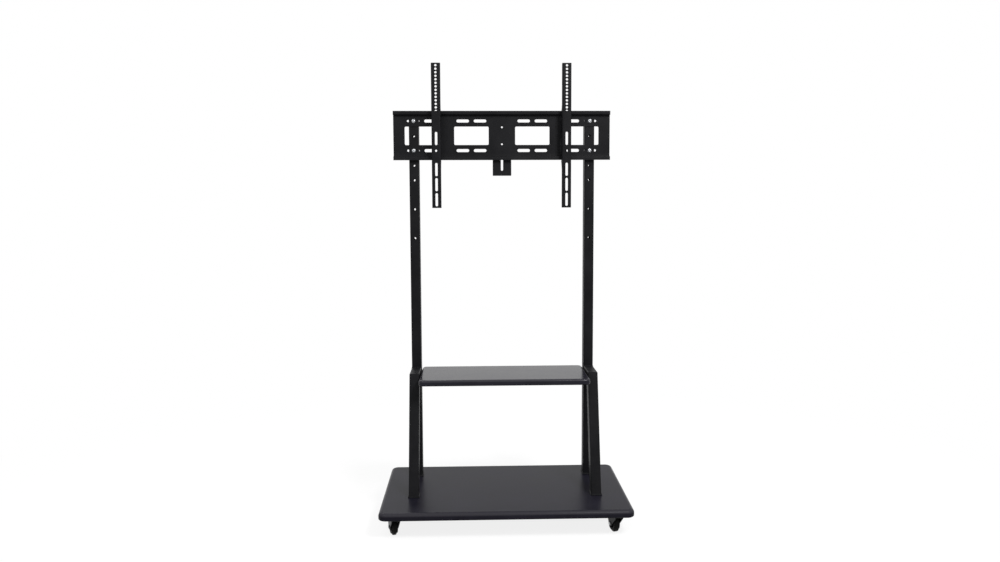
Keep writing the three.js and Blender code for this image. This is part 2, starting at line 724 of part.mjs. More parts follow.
// Mount plate: a web between two forward flanges that end in lips, with windows and slots.
// The outermost slots are narrower, because the bolts to the uprights go through them.
function mountPlate() {
  const webY = UPRIGHT_FRONT_Y - PLATE_THICKNESS / 2;
  const lipY = LIP_FRONT_Y + PLATE_THICKNESS / 2;
  const upperZ = PLATE_TOP_Z - LIP_HEIGHT + PLATE_THICKNESS / 2;
  const lowerZ = PLATE_BOTTOM_Z + LIP_HEIGHT - PLATE_THICKNESS / 2;
  const section = bentSheet([
    [lipY, PLATE_TOP_Z],
    [lipY, upperZ],
    [webY, upperZ],
    [webY, lowerZ],
    [lipY, lowerZ],
    [lipY, PLATE_BOTTOM_Z],
  ], PLATE_THICKNESS);
  const sheet = alongX(section, -PLATE_WIDTH / 2, PLATE_WIDTH / 2);
  const cutters = [];
  const pierce = (shape) => {
    cutters.push(alongY(shape, PLATE_WEB_FRONT_Y - CUT_OVERRUN, UPRIGHT_FRONT_Y + CUT_OVERRUN));
  };
  for (const side of [-1, 1]) {
    for (const distance of [WINDOW_NEAR_X, WINDOW_FAR_X]) {
      const windowX = side * distance;
      pierce(roundedRectangle(WINDOW_WIDTH, WINDOW_HEIGHT, WINDOW_CORNER_RADIUS, windowX, MOUNT_Z));
      const isFar = distance === WINDOW_FAR_X;
      for (const row of [-HOLE_PITCH, HOLE_PITCH]) {
        const inner = [windowX - side * PLATE_SLOT_OFFSET, MOUNT_Z + row];
        const outer = [windowX + side * PLATE_SLOT_OFFSET, MOUNT_Z + row];
        pierce(slotShape(PLATE_SLOT_LENGTH, PLATE_SLOT_WIDTH, ...inner));
        pierce(slotShape(PLATE_SLOT_LENGTH, isFar ? BOLT_SLOT_WIDTH : PLATE_SLOT_WIDTH, ...outer));
      }
    }
    pierce(hole(CENTRE_HOLE_RADIUS, 0, MOUNT_Z + side * CENTRE_HOLE_OFFSET));
  }
  return mesh('mount_plate', subtractAll(sheet, cutters), blackCoat);
}

// Slotted tab that hangs from the back of the mount plate
function lockTab() {
  const bottom = PLATE_BOTTOM_Z - TAB_DROP;
  const height = TAB_DROP + TAB_LAP;
  const outline = roundedRectangle(TAB_WIDTH, height, TAB_CORNER_RADIUS, 0, bottom + height / 2);
  const slotZ = bottom + TAB_SLOT_EDGE + TAB_SLOT_LENGTH / 2;
  outline.holes.push(slotShape(TAB_SLOT_WIDTH, TAB_SLOT_LENGTH, 0, slotZ));
  return mesh('lock_tab', alongY(outline, UPRIGHT_FRONT_Y, UPRIGHT_FRONT_Y + TAB_THICKNESS), blackCoat);
}

// Bolt through the plate's slot and the upright
function plateBolt(name, side, row) {
  const grip = PLATE_THICKNESS + TUBE_DEPTH + NUT_HEIGHT + BOLT_TIP_LENGTH;
  const bolt = frameBolt(grip)
    .rotate([90, 0, 0])
    .translate([side * UPRIGHT_X, PLATE_WEB_FRONT_Y, MOUNT_Z + row * HOLE_PITCH]);
  return mesh(name, bolt, zincSteel);
}

// Flange nut against the back of the upright
function plateNut(name, side, row) {
  const bore = hole(BOLT_SHANK_RADIUS + TOUCH_GAP);
  const nut = alongZ(polygon(SOCKET_SIDES, NUT_RADIUS), 0, NUT_HEIGHT)
    .add(alongZ(polygon(DISC_SIDES, NUT_FLANGE_RADIUS), 0, NUT_FLANGE_THICKNESS))
    .subtract(alongZ(bore, -CUT_OVERRUN, NUT_HEIGHT + CUT_OVERRUN))
    .rotate([-90, 0, 0])
    .translate([side * UPRIGHT_X, UPRIGHT_REAR_Y, MOUNT_Z + row * HOLE_PITCH]);
  return mesh(name, nut, zincSteel);
}

// Side outline of a mount arm: hook over the upper lip, ledge under the lower one
function armSideOutline() {
  const endY = ARM_FRONT_Y + ARM_END_DEPTH;
  const restY = LIP_FRONT_Y - TOUCH_GAP;
  const hookFrontY = LIP_REAR_Y + TOUCH_GAP;
  const hookRearY = hookFrontY + HOOK_THICKNESS;
  const hookInnerZ = PLATE_TOP_Z + TOUCH_GAP;
  const hookTopZ = hookInnerZ + HOOK_THICKNESS;
  const hookTipZ = PLATE_TOP_Z - HOOK_DROP;
  const corners = [
    [ARM_FRONT_Y, ARM_BOTTOM_Z],
    [endY, ARM_BOTTOM_Z],
    [endY, LEDGE_BOTTOM_Z - ARM_SHOULDER],
    [restY, LEDGE_BOTTOM_Z - ARM_SHOULDER + ARM_SLOPE],
    [LEDGE_REAR_Y, LEDGE_BOTTOM_Z],
    [LEDGE_REAR_Y, LEDGE_TOP_Z],
    [restY, LEDGE_TOP_Z],
    [restY, hookInnerZ],
    [hookFrontY, hookInnerZ],
    [hookFrontY, hookTipZ],
    [hookRearY, hookTipZ],
    [hookRearY, hookInnerZ],
    [hookFrontY, hookTopZ],
    [restY, hookTopZ],
    [endY, hookTopZ + ARM_SLOPE],
    [endY, ARM_TOP_Z],
    [ARM_FRONT_Y, ARM_TOP_Z],
  ];
  return new THREE.Shape(corners.map(([y, z]) => new THREE.Vector2(y, z)));
}

// Middle of one arm; the pair hangs a little to the left, as it slides along the plate
function armX(side) {
  return ARM_PAIR_SHIFT + (side * ARM_SPACING) / 2;
}

// Mount arm: a channel with its web to the front, pierced for the screen's screws
function mountArm(name, side) {
  const x = armX(side);
  const flangeX = ARM_WIDTH / 2 - ARM_THICKNESS / 2;
  const webY = ARM_FRONT_Y + ARM_THICKNESS / 2;
  const backY = UPRIGHT_FRONT_Y;
  const channel = alongZ(bentSheet([
    [-flangeX, backY],
    [-flangeX, webY],
    [flangeX, webY],
    [flangeX, backY],
  ], ARM_THICKNESS), ARM_BOTTOM_Z, ARM_TOP_Z);
  const reach = ARM_WIDTH / 2 + CUT_OVERRUN;
  const ledgeFrontY = LIP_FRONT_Y - LEDGE_LAP;
  const ledgeOutline = new THREE.Shape([
    new THREE.Vector2(ledgeFrontY, LEDGE_BOTTOM_Z),
    new THREE.Vector2(LEDGE_REAR_Y, LEDGE_BOTTOM_Z),
    new THREE.Vector2(LEDGE_REAR_Y, LEDGE_TOP_Z),
    new THREE.Vector2(ledgeFrontY, LEDGE_TOP_Z),
  ]);
  const ledge = alongX(ledgeOutline, -flangeX, flangeX);
  const screwHole = alongZ(
    hole(SAFETY_SHANK_RADIUS + TOUCH_GAP, 0, SAFETY_SCREW_Y),
    LEDGE_BOTTOM_Z - CUT_OVERRUN,
    LEDGE_TOP_Z + CUT_OVERRUN,
  );
  const cutters = [screwHole];
  const pierce = (shape) => {
    cutters.push(alongY(shape, ARM_FRONT_Y - CUT_OVERRUN, ARM_FRONT_Y + CUT_OVERRUN));
  };
  for (let i = 0; i < ARM_HOLE_COUNT; i += 1) {
    pierce(hole(ARM_HOLE_RADIUS, 0, ARM_TOP_Z - ARM_HOLE_EDGE - i * ARM_HOLE_PITCH));
  }
  const pierceSlot = (z) => pierce(slotShape(ARM_SLOT_WIDTH, ARM_SLOT_LENGTH, 0, z));
  for (let i = 0; i < ARM_SLOT_COUNT; i += 1) {
    pierceSlot(ARM_BOTTOM_Z + ARM_SLOT_EDGE + i * ARM_SLOT_PITCH);
  }
  pierceSlot(MOUNT_Z - ARM_MIDDLE_SLOT_DROP);
  pierce(hole(ARM_HOLE_RADIUS, 0, MOUNT_Z - ARM_MIDDLE_HOLE_DROP));
  const arm = channel.intersect(alongX(armSideOutline(), -reach, reach)).add(ledge);
  return mesh(`${name}_mount_arm`, subtractAll(arm, cutters).translate([x, 0, 0]), blackCoat);
}

// Safety screw, driven up through the ledge until its tip stands behind the lower lip
function safetyScrew(name, side) {
  const screw = domedBolt({
    length: LEDGE_THICKNESS + LEDGE_CLEARANCE + SAFETY_REACH,
    shank: SAFETY_SHANK_RADIUS,
    head: SAFETY_HEAD_RADIUS,
    headHeight: SAFETY_HEAD_HEIGHT,
    washer: SAFETY_WASHER_RADIUS,
    washerThickness: SAFETY_WASHER_THICKNESS,
    socket: SAFETY_SOCKET_RADIUS,
    socketDepth: SAFETY_SOCKET_DEPTH,
  }).rotate([180, 0, 0]);
  const place = [armX(side), SAFETY_SCREW_Y, LEDGE_BOTTOM_Z];
  return mesh(`${name}_safety_screw`, screw.translate(place), zincSteel);
}

// Caster top plate with the ball race and the kingpin riveted through it
function casterPlate() {
  const side = CASTER_PLATE_SIDE;
  const plate = alongZ(
    roundedRectangle(side, side, CASTER_PLATE_CORNER),
    CASTER_PLATE_UNDERSIDE,
    CASTER_HEIGHT,
  );
  const headTop = CROWN_UNDERSIDE - TOUCH_GAP;
  const middle = CASTER_HEIGHT - CASTER_PLATE_THICKNESS / 2;
  const race = turnedAboutZ([
    [0, headTop - KINGPIN_HEAD_HEIGHT],
    [KINGPIN_HEAD_RADIUS, headTop - KINGPIN_HEAD_HEIGHT],
    [KINGPIN_HEAD_RADIUS, headTop],
    [KINGPIN_RADIUS, headTop],
    [KINGPIN_RADIUS, RACE_UNDERSIDE],
    [RACE_RADIUS, RACE_UNDERSIDE],
    [RACE_COLLAR_RADIUS, CASTER_PLATE_UNDERSIDE - RACE_COLLAR_HEIGHT],
    [RACE_COLLAR_RADIUS, middle],
    [0, middle],
  ], CASTER_SIDES);
  const drills = [];
  for (const x of [-CASTER_SCREW_OFFSET, CASTER_SCREW_OFFSET]) {
    for (const y of [-CASTER_SCREW_OFFSET, CASTER_SCREW_OFFSET]) {
      const from = CASTER_PLATE_UNDERSIDE - CUT_OVERRUN;
      const to = CASTER_HEIGHT + CUT_OVERRUN;
      drills.push(alongZ(hole(CASTER_SCREW_RADIUS, x, y), from, to));
    }
  }
  return subtractAll(plate, drills).add(race);
}

// Caster fork: a round crown under the race, two cheeks and the pin of the brake pedal
function casterFork() {
  const cheek = belt([
    { x: PEDAL_PIVOT_REACH, y: PEDAL_PIVOT_HEIGHT, radius: EAR_RADIUS },
    {
      x: CHEEK_CORNER_RADIUS - CHEEK_FRONT_LENGTH,
      y: CROWN_TOP - CHEEK_CORNER_RADIUS,
      radius: CHEEK_CORNER_RADIUS,
    },
    { x: CASTER_TRAIL, y: AXLE_HEIGHT, radius: CHEEK_BOSS_RADIUS },
  ]);
  const crownLength = CROWN_FRONT_LENGTH + CROWN_REAR_LENGTH;
  const crownMiddle = (CROWN_REAR_LENGTH - CROWN_FRONT_LENGTH) / 2;
  const crownWidth = 2 * CHEEK_INNER + CHEEK_THICKNESS;
  const crown = roundedRectangle(crownWidth, crownLength, CHEEK_THICKNESS / 2, 0, crownMiddle);
  const pinEnd = CHEEK_OUTER + PEDAL_PIN_STAND_OUT;
  const pin = polygon(PIN_SIDES, PEDAL_PIN_RADIUS, PEDAL_PIVOT_REACH, PEDAL_PIVOT_HEIGHT);
  const kingpinHole = hole(KINGPIN_RADIUS + TOUCH_GAP);
  const axleHole = hole(AXLE_RADIUS + TOUCH_GAP, CASTER_TRAIL, AXLE_HEIGHT);
  return joinAll([
    alongX(cheek, -CHEEK_OUTER, -CHEEK_INNER, BELT_ARC_STEPS),
    alongX(cheek, CHEEK_INNER, CHEEK_OUTER, BELT_ARC_STEPS),
    alongZ(crown, CROWN_UNDERSIDE, CROWN_TOP),
    alongZ(polygon(DISC_SIDES, CROWN_RADIUS), CROWN_UNDERSIDE, CROWN_TOP),
    alongX(pin, -pinEnd, pinEnd),
  ])
    .subtract(alongZ(kingpinHole, CROWN_UNDERSIDE - CUT_OVERRUN, CROWN_TOP + CUT_OVERRUN))
    .subtract(alongX(axleHole, -pinEnd, pinEnd));
}

// Axle with a head outside each cheek
function casterAxle() {
  const headStart = CHEEK_OUTER + TOUCH_GAP;
  const end = headStart + AXLE_HEAD_LENGTH;
  return turnedAboutX([
    [0, -end],
    [AXLE_HEAD_RADIUS, -end],
    [AXLE_HEAD_RADIUS, -headStart],
    [AXLE_RADIUS, -headStart],
    [AXLE_RADIUS, headStart],
    [AXLE_HEAD_RADIUS, headStart],
    [AXLE_HEAD_RADIUS, end],
    [0, end],
  ], AXLE_SIDES);
}

// Tyre ring with round shoulders, turned so that it stands on the flat of a facet
function casterTyre() {
  const half = TYRE_WIDTH / 2;
  const profile = [[TYRE_BORE_RADIUS, -half]];
  for (const side of [-1, 1]) {
    for (let step = 0; step <= TYRE_SHOULDER_STEPS; step += 1) {
      const stepsIn = side < 0 ? step : TYRE_SHOULDER_STEPS - step;
      const angle = (QUARTER_TURN * stepsIn) / TYRE_SHOULDER_STEPS;
      profile.push([
        TYRE_RADIUS - TYRE_SHOULDER_RADIUS * (1 - Math.sin(angle)),
        side * (half - TYRE_SHOULDER_RADIUS * (1 - Math.cos(angle))),
      ]);
    }
  }
  profile.push([TYRE_BORE_RADIUS, half], [TYRE_BORE_RADIUS, -half]);
  return turnedAboutX(profile, TYRE_SIDES).rotate([180 / TYRE_SIDES, 0, 0]);
}

// Hub with a boss that fills the fork, a thin web and a rim under the tyre
function casterHub() {
  const rimRadius = TYRE_BORE_RADIUS - TOUCH_GAP;
  const boss = CHEEK_INNER - TOUCH_GAP;
  const rim = HUB_RIM_WIDTH / 2;
  const web = HUB_WEB_WIDTH / 2;
  const bore = AXLE_RADIUS + TOUCH_GAP;
  return turnedAboutX([
    [bore, -boss],
    [HUB_BOSS_RADIUS, -boss],
    [HUB_BOSS_RADIUS, -web],
    [rimRadius - HUB_RIM_THICKNESS, -web],
    [rimRadius - HUB_RIM_THICKNESS, -rim],
    [rimRadius, -rim],
    [rimRadius, rim],
    [rimRadius - HUB_RIM_THICKNESS, rim],
    [rimRadius - HUB_RIM_THICKNESS, web],
    [HUB_BOSS_RADIUS, web],
    [HUB_BOSS_RADIUS, boss],
    [bore, boss],
    [bore, -boss],
  ], CASTER_SIDES);
}

// Brake pedal about its pin: a tread to step on and a cam that swings on to the tyre
function casterBrake() {
  const toWheel = new THREE.Vector2(CASTER_TRAIL - PEDAL_PIVOT_REACH, AXLE_HEIGHT - PEDAL_PIVOT_HEIGHT);
  const camReach = toWheel.length() - TYRE_RADIUS - BRAKE_GAP;
  const restAngle = THREE.MathUtils.degToRad(PEDAL_REST_DEGREES);
  const travel = THREE.MathUtils.degToRad(PEDAL_TRAVEL_DEGREES + PEDAL_CAM_LEAD_DEGREES);
  const camAngle = toWheel.angle() + travel - restAngle;
  const camDistance = camReach - PEDAL_CAM_RADIUS;
  const camY = camDistance * Math.cos(camAngle);
  const camZ = camDistance * Math.sin(camAngle);
  const insideHalf = TYRE_WIDTH / 2;
  const treadStart = EAR_RADIUS + CHEEK_CLEARANCE;
  const neckStart = PEDAL_PIN_RADIUS + TOUCH_GAP;
  const neckLength = treadStart + PEDAL_THICKNESS;
  const neck = roundedRectangle(
    neckLength,
    PEDAL_THICKNESS,
    PEDAL_NECK_ROUND,
    neckStart + neckLength / 2,
    0,
  );
  const tread = belt([
    { x: PEDAL_LENGTH - PEDAL_THICKNESS / 2, y: PEDAL_TIP_RISE, radius: PEDAL_THICKNESS / 2 },
    { x: treadStart + PEDAL_THICKNESS / 2, y: 0, radius: PEDAL_THICKNESS / 2 },
  ]);
  const bore = hole(PEDAL_PIN_RADIUS + TOUCH_GAP);
  const wideHalf = PEDAL_WIDTH / 2;
  return joinAll([
    alongX(polygon(HOLE_SIDES, PEDAL_HUB_RADIUS), -insideHalf, insideHalf),
    alongX(polygon(HOLE_SIDES, PEDAL_CAM_RADIUS, camY, camZ), -insideHalf, insideHalf),
    alongX(neck, -insideHalf, insideHalf),
    alongX(tread, -wideHalf, wideHalf),
  ]).subtract(alongX(bore, -wideHalf, wideHalf)).rotate([PEDAL_REST_DEGREES, 0, 0]);
}

// The solids that all four casters share
const CASTER_SOLIDS = {
  plate: casterPlate(),
  fork: casterFork(),
  axle: casterAxle(),
  hub: casterHub(),
  tyre: casterTyre(),
  brake: casterBrake(),
};

// One caster: the plate is fixed, and the fork group trails in its own direction
function caster({ name, side, end, heading }) {
  const whole = new THREE.Group();
  whole.position.set(side * (BASE_WIDTH / 2 - CASTER_INSET), end * (BASE_DEPTH / 2 - CASTER_INSET), 0);
  const swivel = new THREE.Group();
  swivel.rotation.z = THREE.MathUtils.degToRad(heading);
  const fork = mesh(`${name}_caster_fork`, CASTER_SOLIDS.fork, casterSteel);
  const wheel = new THREE.Group();
  wheel.position.set(0, CASTER_TRAIL, AXLE_HEIGHT);
  wheel.add(mesh(`${name}_caster_axle`, CASTER_SOLIDS.axle, zincSteel));
  wheel.add(mesh(`${name}_caster_hub`, CASTER_SOLIDS.hub, blackPlastic));
  wheel.add(mesh(`${name}_caster_tyre`, CASTER_SOLIDS.tyre, blackRubber));
  const brake = mesh(`${name}_caster_brake`, CASTER_SOLIDS.brake, blackPlastic);
  brake.position.set(0, PEDAL_PIVOT_REACH, PEDAL_PIVOT_HEIGHT);
  swivel.add(fork, wheel, brake);
  whole.add(mesh(`${name}_caster_plate`, CASTER_SOLIDS.plate, casterSteel), swivel);
  return whole;
}

// Everything on one side of the stand
function sideFrame(name, side) {
  const frame = new THREE.Group();
  frame.add(
    upright(name, side),
    uprightCap(name, side),
    frontLeg(name, side),
    shelfArm(name, side),
    shelfAngle(name, side),
    footPlate(`${name}_upright_foot`, side, UPRIGHT_MIDDLE_Y, TUBE_DEPTH),
    footPlate(`${name}_leg_foot`, side, LEG_FOOT_MIDDLE_Y, LEG_LEVEL_DEPTH),
    footBolt(`${name}_upright_foot_bolt`, side, UPRIGHT_MIDDLE_Y),
    footBolt(`${name}_leg_foot_bolt`, side, LEG_FOOT_MIDDLE_Y),
    plateBolt(`${name}_upper_plate_bolt`, side, 1),
    plateBolt(`${name}_lower_plate_bolt`, side, -1),
    plateNut(`${name}_upper_plate_nut`, side, 1),
    plateNut(`${name}_lower_plate_nut`, side, -1),
    mountArm(name, side),
    safetyScrew(name, side),
  );
  return frame;
}

const stand = new THREE.Group();
stand.add(baseBoard(), shelfBoard(), mountPlate(), lockTab());
stand.add(sideFrame('left', -1), sideFrame('right', 1));
stand.add(...CASTERS.map(caster));

export default stand;
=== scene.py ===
# %% [markdown]
# # A rolling stand with a mount
# The stand is a board on four braked casters, two pierced steel tubes with leaning front
# legs, a shelf, and a folded mount plate on which two slotted arms hang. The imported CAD
# model gives the places and the sizes. This script dresses it: each part is worked out
# again as a finer surface, with the finish that the real part has.

# %% Load the frame
import json

import bmesh
import bpy
import numpy as np
from mathutils import Matrix, Vector


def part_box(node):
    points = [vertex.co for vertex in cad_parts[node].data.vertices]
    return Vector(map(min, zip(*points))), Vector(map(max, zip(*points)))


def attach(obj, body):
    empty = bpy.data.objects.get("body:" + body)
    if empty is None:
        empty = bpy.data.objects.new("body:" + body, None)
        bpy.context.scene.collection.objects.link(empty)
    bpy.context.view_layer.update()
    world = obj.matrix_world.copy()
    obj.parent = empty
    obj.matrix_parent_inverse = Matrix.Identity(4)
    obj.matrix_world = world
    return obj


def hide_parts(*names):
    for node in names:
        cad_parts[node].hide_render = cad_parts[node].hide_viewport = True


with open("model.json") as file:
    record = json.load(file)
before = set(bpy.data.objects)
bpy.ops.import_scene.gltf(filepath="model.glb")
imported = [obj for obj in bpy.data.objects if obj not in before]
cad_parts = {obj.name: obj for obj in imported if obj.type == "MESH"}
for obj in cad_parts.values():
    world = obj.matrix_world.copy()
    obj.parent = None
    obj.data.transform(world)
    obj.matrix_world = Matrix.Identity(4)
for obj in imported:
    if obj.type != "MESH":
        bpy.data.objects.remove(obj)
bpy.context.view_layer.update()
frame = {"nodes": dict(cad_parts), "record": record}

# %% [markdown]
# Lengths are written in millimetres, as on a drawing. The places and outer sizes of the
# large parts aren't typed in: one function reads them from the box of a CAD node. Colours
# are written as hex values, as every paint program shows them. Blender works with linear
# light, so another function undoes the curve of those values for red, green and blue.

# %% Units and colours
MM = 0.001
SIDES = {"left": -1, "right": 1}


def cad_box(node):
    """The low and the high corner of a CAD node's box, in millimetres."""
    return [np.round(np.array(corner) / MM, 3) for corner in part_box(node)]


def linear(hex_colour):
    """Coded value v becomes ((v + 0.055) / 1.055) to the power 2.4, and v / 12.92 near black."""
    code = hex_colour.lstrip("#")
    coded = np.array([int(code[i:i + 2], 16) for i in (0, 2, 4)]) / 255
    light = np.where(coded <= 0.04045, coded / 12.92, ((coded + 0.055) / 1.055) ** 2.4)
    return (*light.tolist(), 1.0)


print("the base board's box in mm:", *cad_box("base_board"))
print("mid grey as light:", round(linear("#808080")[0], 3))

# %% [markdown]
# A material is a small network of nodes. One function adds any kind of node: it sets the
# node's own options, then fills its inputs, each with a plain value or with a link from
# another node's output. Every finish below is written with it.

# %% Add a node
def add_node(tree, kind, options=None, **inputs):
    """One node. In an input's name _ stands for a space, _2 means input 2, and a socket is linked."""
    node = tree.nodes.new(f"ShaderNode{kind}")
    for option, value in (options or {}).items():
        setattr(node, option, value)
    for label, value in inputs.items():
        numbered = label[1:].isdigit()
        socket = node.inputs[int(label[1:]) if numbered else label.replace("_", " ")]
        if isinstance(value, bpy.types.NodeSocket):
            tree.links.new(value, socket)
        else:
            socket.default_value = value
    return node


def new_material(name):
    """An empty material and its tree, with only an output node in it."""
    material = bpy.data.materials.new(name)
    material.use_nodes = True
    tree = material.node_tree
    tree.nodes.clear()
    return material, tree, add_node(tree, "OutputMaterial")


scrap, scrap_tree, _ = new_material("scrap")
print("inputs of a noise node:", ", ".join(add_node(scrap_tree, "TexNoise").inputs.keys()))
bpy.data.materials.remove(scrap)

# %% [markdown]
# Nearly all the finishes of this stand are black, and what tells them apart is how they
# break up a reflection. So each one is made in the same three layers. A soft cloud, a hand's
# width across, stands for handling and dust and shifts colour and roughness. A fine grain
# stands for the surface itself, such as emboss or orange peel, and shades the colour a
# little. And a bump made from that grain gives the highlight its texture. Real emboss and
# orange peel are a few tenths of a millimetre fine, too fine for a picture of the whole
# stand, so the grain is drawn coarser, about a millimetre wide. A pattern scale of 1 / size
# makes one cell of that size.
#
# Three more layers are used where they belong. A greyer band along the rolled upper edge of a
# board is a painted highlight, found from how far the surface tilts. Paint thins and scuffs
# along the cut edges of steel, found from how far a rounded normal leaves the true one. A
# recess such as a bolt's socket is darkened with painted shade, found from how much of its
# surroundings stands close by.

# %% Painted edge highlight, scuffs and painted shade
# The colour of the painted shade in recesses.
RECESS_SHADE = "#1b1a19"


def painted_edge_highlight(tree, colour, rim, coordinates):
    """Painted highlight: the rim colour shows where the normal's Z lies between 0, upright, and 1, level."""
    up = add_node(tree, "SeparateXYZ", Vector=coordinates.outputs["Normal"]).outputs["Z"]
    off_upright = add_node(tree, "MapRange", {"interpolation_type": "SMOOTHSTEP"}, Value=up,
                           From_Min=0.0, From_Max=0.45)
    off_level = add_node(tree, "MapRange", {"interpolation_type": "SMOOTHSTEP"}, Value=up,
                         From_Min=0.999, From_Max=0.93)
    share = add_node(tree, "Math", {"operation": "MULTIPLY"}, _0=off_upright.outputs["Result"],
                     _1=off_level.outputs["Result"])
    return add_node(tree, "Mix", {"data_type": "RGBA"}, _0=share.outputs[0], _6=colour,
                    _7=linear(rim)).outputs[2]


def scuffed_edges(tree, colour, scuff, reach_mm, cloud):
    """Scuff colour where true . rounded normal falls from 1 towards 0.8, broken up by the cloud."""
    rounded = add_node(tree, "Bevel", {"samples": 4}, Radius=reach_mm * MM).outputs["Normal"]
    true = add_node(tree, "NewGeometry").outputs["Normal"]
    likeness = add_node(tree, "VectorMath", {"operation": "DOT_PRODUCT"}, _0=rounded, _1=true)
    on_edge = add_node(tree, "MapRange", Value=likeness.outputs["Value"], From_Min=0.98,
                       From_Max=0.80)
    broken = add_node(tree, "MapRange", Value=cloud, From_Min=0.35, From_Max=0.6, To_Min=0.3)
    share = add_node(tree, "Math", {"operation": "MULTIPLY"}, _0=on_edge.outputs["Result"],
                     _1=broken.outputs["Result"])
    return add_node(tree, "Mix", {"data_type": "RGBA"}, _0=share.outputs[0], _6=colour,
                    _7=linear(scuff)).outputs[2]


def painted_recess_shade(tree, colour, reach_mm):
    """Painted shade: the open share of the surroundings within reach, squared, leads from the shade colour to
    the clean colour.
    """
    open_share = add_node(tree, "AmbientOcclusion", {"samples": 8}, Distance=reach_mm * MM)
    squared = add_node(tree, "Math", {"operation": "POWER"}, _0=open_share.outputs["AO"], _1=2.0)
    return add_node(tree, "Mix", {"data_type": "RGBA"}, _0=squared.outputs[0], _6=linear(RECESS_SHADE),
                    _7=colour).outputs[2]


print("painted_shade as light:", round(linear(RECESS_SHADE)[0], 4))

# %% [markdown]
# The layers are put together. The cloud and the grain are mixed six to four and stretched,
# and the mixture leads from the base colour to the worn one.

# %% Layered finish
CLOUD_WIDTH = 90.0


def layered_finish(name, base, worn, roughness, grain_mm, bump, metallic=0.0, specular=0.5,
                   cloud_mm=CLOUD_WIDTH, rim=None, scuff=None, recess_shade_mm=0.0):
    """Colour runs from base to worn by 0.6 cloud + 0.4 grain; roughness follows the cloud, bump the grain."""
    material, tree, output = new_material(name)
    coordinates = add_node(tree, "TexCoord")
    place = coordinates.outputs["Object"]
    cloud = add_node(tree, "TexNoise", Vector=place, Scale=1 / (cloud_mm * MM), Detail=5.0,
                     Roughness=0.68)
    grain = add_node(tree, "TexNoise", Vector=place, Scale=1 / (grain_mm * MM), Detail=2.0,
                     Roughness=0.6)
    mottle = add_node(tree, "Mix", {"data_type": "FLOAT"}, _0=0.4, _2=cloud.outputs["Fac"],
                      _3=grain.outputs["Fac"])
    spread = add_node(tree, "MapRange", Value=mottle.outputs[0], From_Min=0.38, From_Max=0.62)
    colour = add_node(tree, "Mix", {"data_type": "RGBA"}, _0=spread.outputs["Result"],
                      _6=linear(base), _7=linear(worn)).outputs[2]
    # The rim colour is a painted highlight on the rolled edge.
    if rim:
        colour = painted_edge_highlight(tree, colour, rim, coordinates)
    if scuff:
        colour = scuffed_edges(tree, colour, *scuff, cloud.outputs["Fac"])
    # Recesses get a painted shade.
    if recess_shade_mm:
        colour = painted_recess_shade(tree, colour, recess_shade_mm)
    gloss = add_node(tree, "MapRange", Value=cloud.outputs["Fac"], From_Min=0.3, From_Max=0.7,
                     To_Min=roughness[0], To_Max=roughness[1])
    relief = add_node(tree, "Bump", Strength=bump[0], Distance=bump[1] * MM,
                      Height=grain.outputs["Fac"])
    shader = add_node(tree, "BsdfPrincipled", Base_Color=colour,
                      Roughness=gloss.outputs["Result"], Metallic=metallic, Specular_IOR_Level=specular,
                      Normal=relief.outputs["Normal"])
    tree.links.new(shader.outputs["BSDF"], output.inputs["Surface"])
    return material


print("pattern scale of the widest cloud:", round(1 / (CLOUD_WIDTH * MM), 1))

# %% [markdown]
# What each finish is on the real stand. The boards are fibreboard wrapped in black vinyl
# foil, finely embossed on the base and smoother on the shelf. The tubes, plate and arms are
# powder coated: the powder melts into a skin with a faint orange peel. Both look almost
# black face on and turn grey at a glancing angle, which is why their specular level is low:
# it sets the face-on reflection, and the glancing one stays strong. Bolts, nuts and axles
# are zinc plated and bright. The caster forks are black lacquered steel, and the wheels are
# moulded nylon with rubber tyres. After its name, a finish is given by its two colours, the
# range of its roughness, the width of its grain, and the strength and height of its bump.

# %% The finishes
# The foils' rim colour is a painted highlight along the boards' rolled upper edges.
FOIL = {"base": "#14131a", "worn": "#1e1d25", "rim": "#2d2c31", "grain_mm": 0.9}
vinyl_foil = layered_finish("embossed_vinyl_foil", **FOIL, roughness=(0.29, 0.34), bump=(0.25, 0.06),
                            specular=0.05)
smooth_foil = layered_finish("smooth_vinyl_foil", **FOIL, roughness=(0.16, 0.22), bump=(0.15, 0.03),
                             specular=0.115)
powder_coat = layered_finish("black_powder_coated_steel", "#0a0a0c", "#161618", (0.42, 0.52), 1.6,
                             (0.60, 0.18), specular=0.08, scuff=("#2b2b2e", 0.8))
# The zinc gets a painted shade in recesses such as the bolts' sockets.
zinc_plate = layered_finish("zinc_plated_steel", "#a8aaae", "#bcbec0", (0.28, 0.40), 0.5, (0.15, 0.03),
                            metallic=1.0, cloud_mm=12, recess_shade_mm=2.5)
black_lacquer = layered_finish("black_lacquered_steel", "#0a0a0b", "#111112", (0.28, 0.40), 1.2,
                               (0.12, 0.04), specular=0.10, cloud_mm=25, scuff=("#3a3a3b", 0.5))
moulded_nylon = layered_finish("moulded_black_nylon", "#111112", "#19191a", (0.46, 0.58), 0.6,
                               (0.25, 0.05), specular=0.10, cloud_mm=30)
tyre_rubber = layered_finish("moulded_tyre_rubber", "#0f0f10", "#1a1a19", (0.62, 0.80), 0.8,
                             (0.30, 0.08), specular=0.10, cloud_mm=18)
FINISH_OF_SLOT = {
    "board": vinyl_foil,
    "coated_steel": powder_coat,
    "zinc_steel": zinc_plate,
    "caster_steel": black_lacquer,
    "plastic": moulded_nylon,
    "rubber": tyre_rubber,
}
print("finishes:", ", ".join(finish.name for finish in FINISH_OF_SLOT.values()))

# %% [markdown]
# Most CAD nodes will be replaced, but every one of them first gets its slot's finish, so
# that nothing is left in a flat colour.

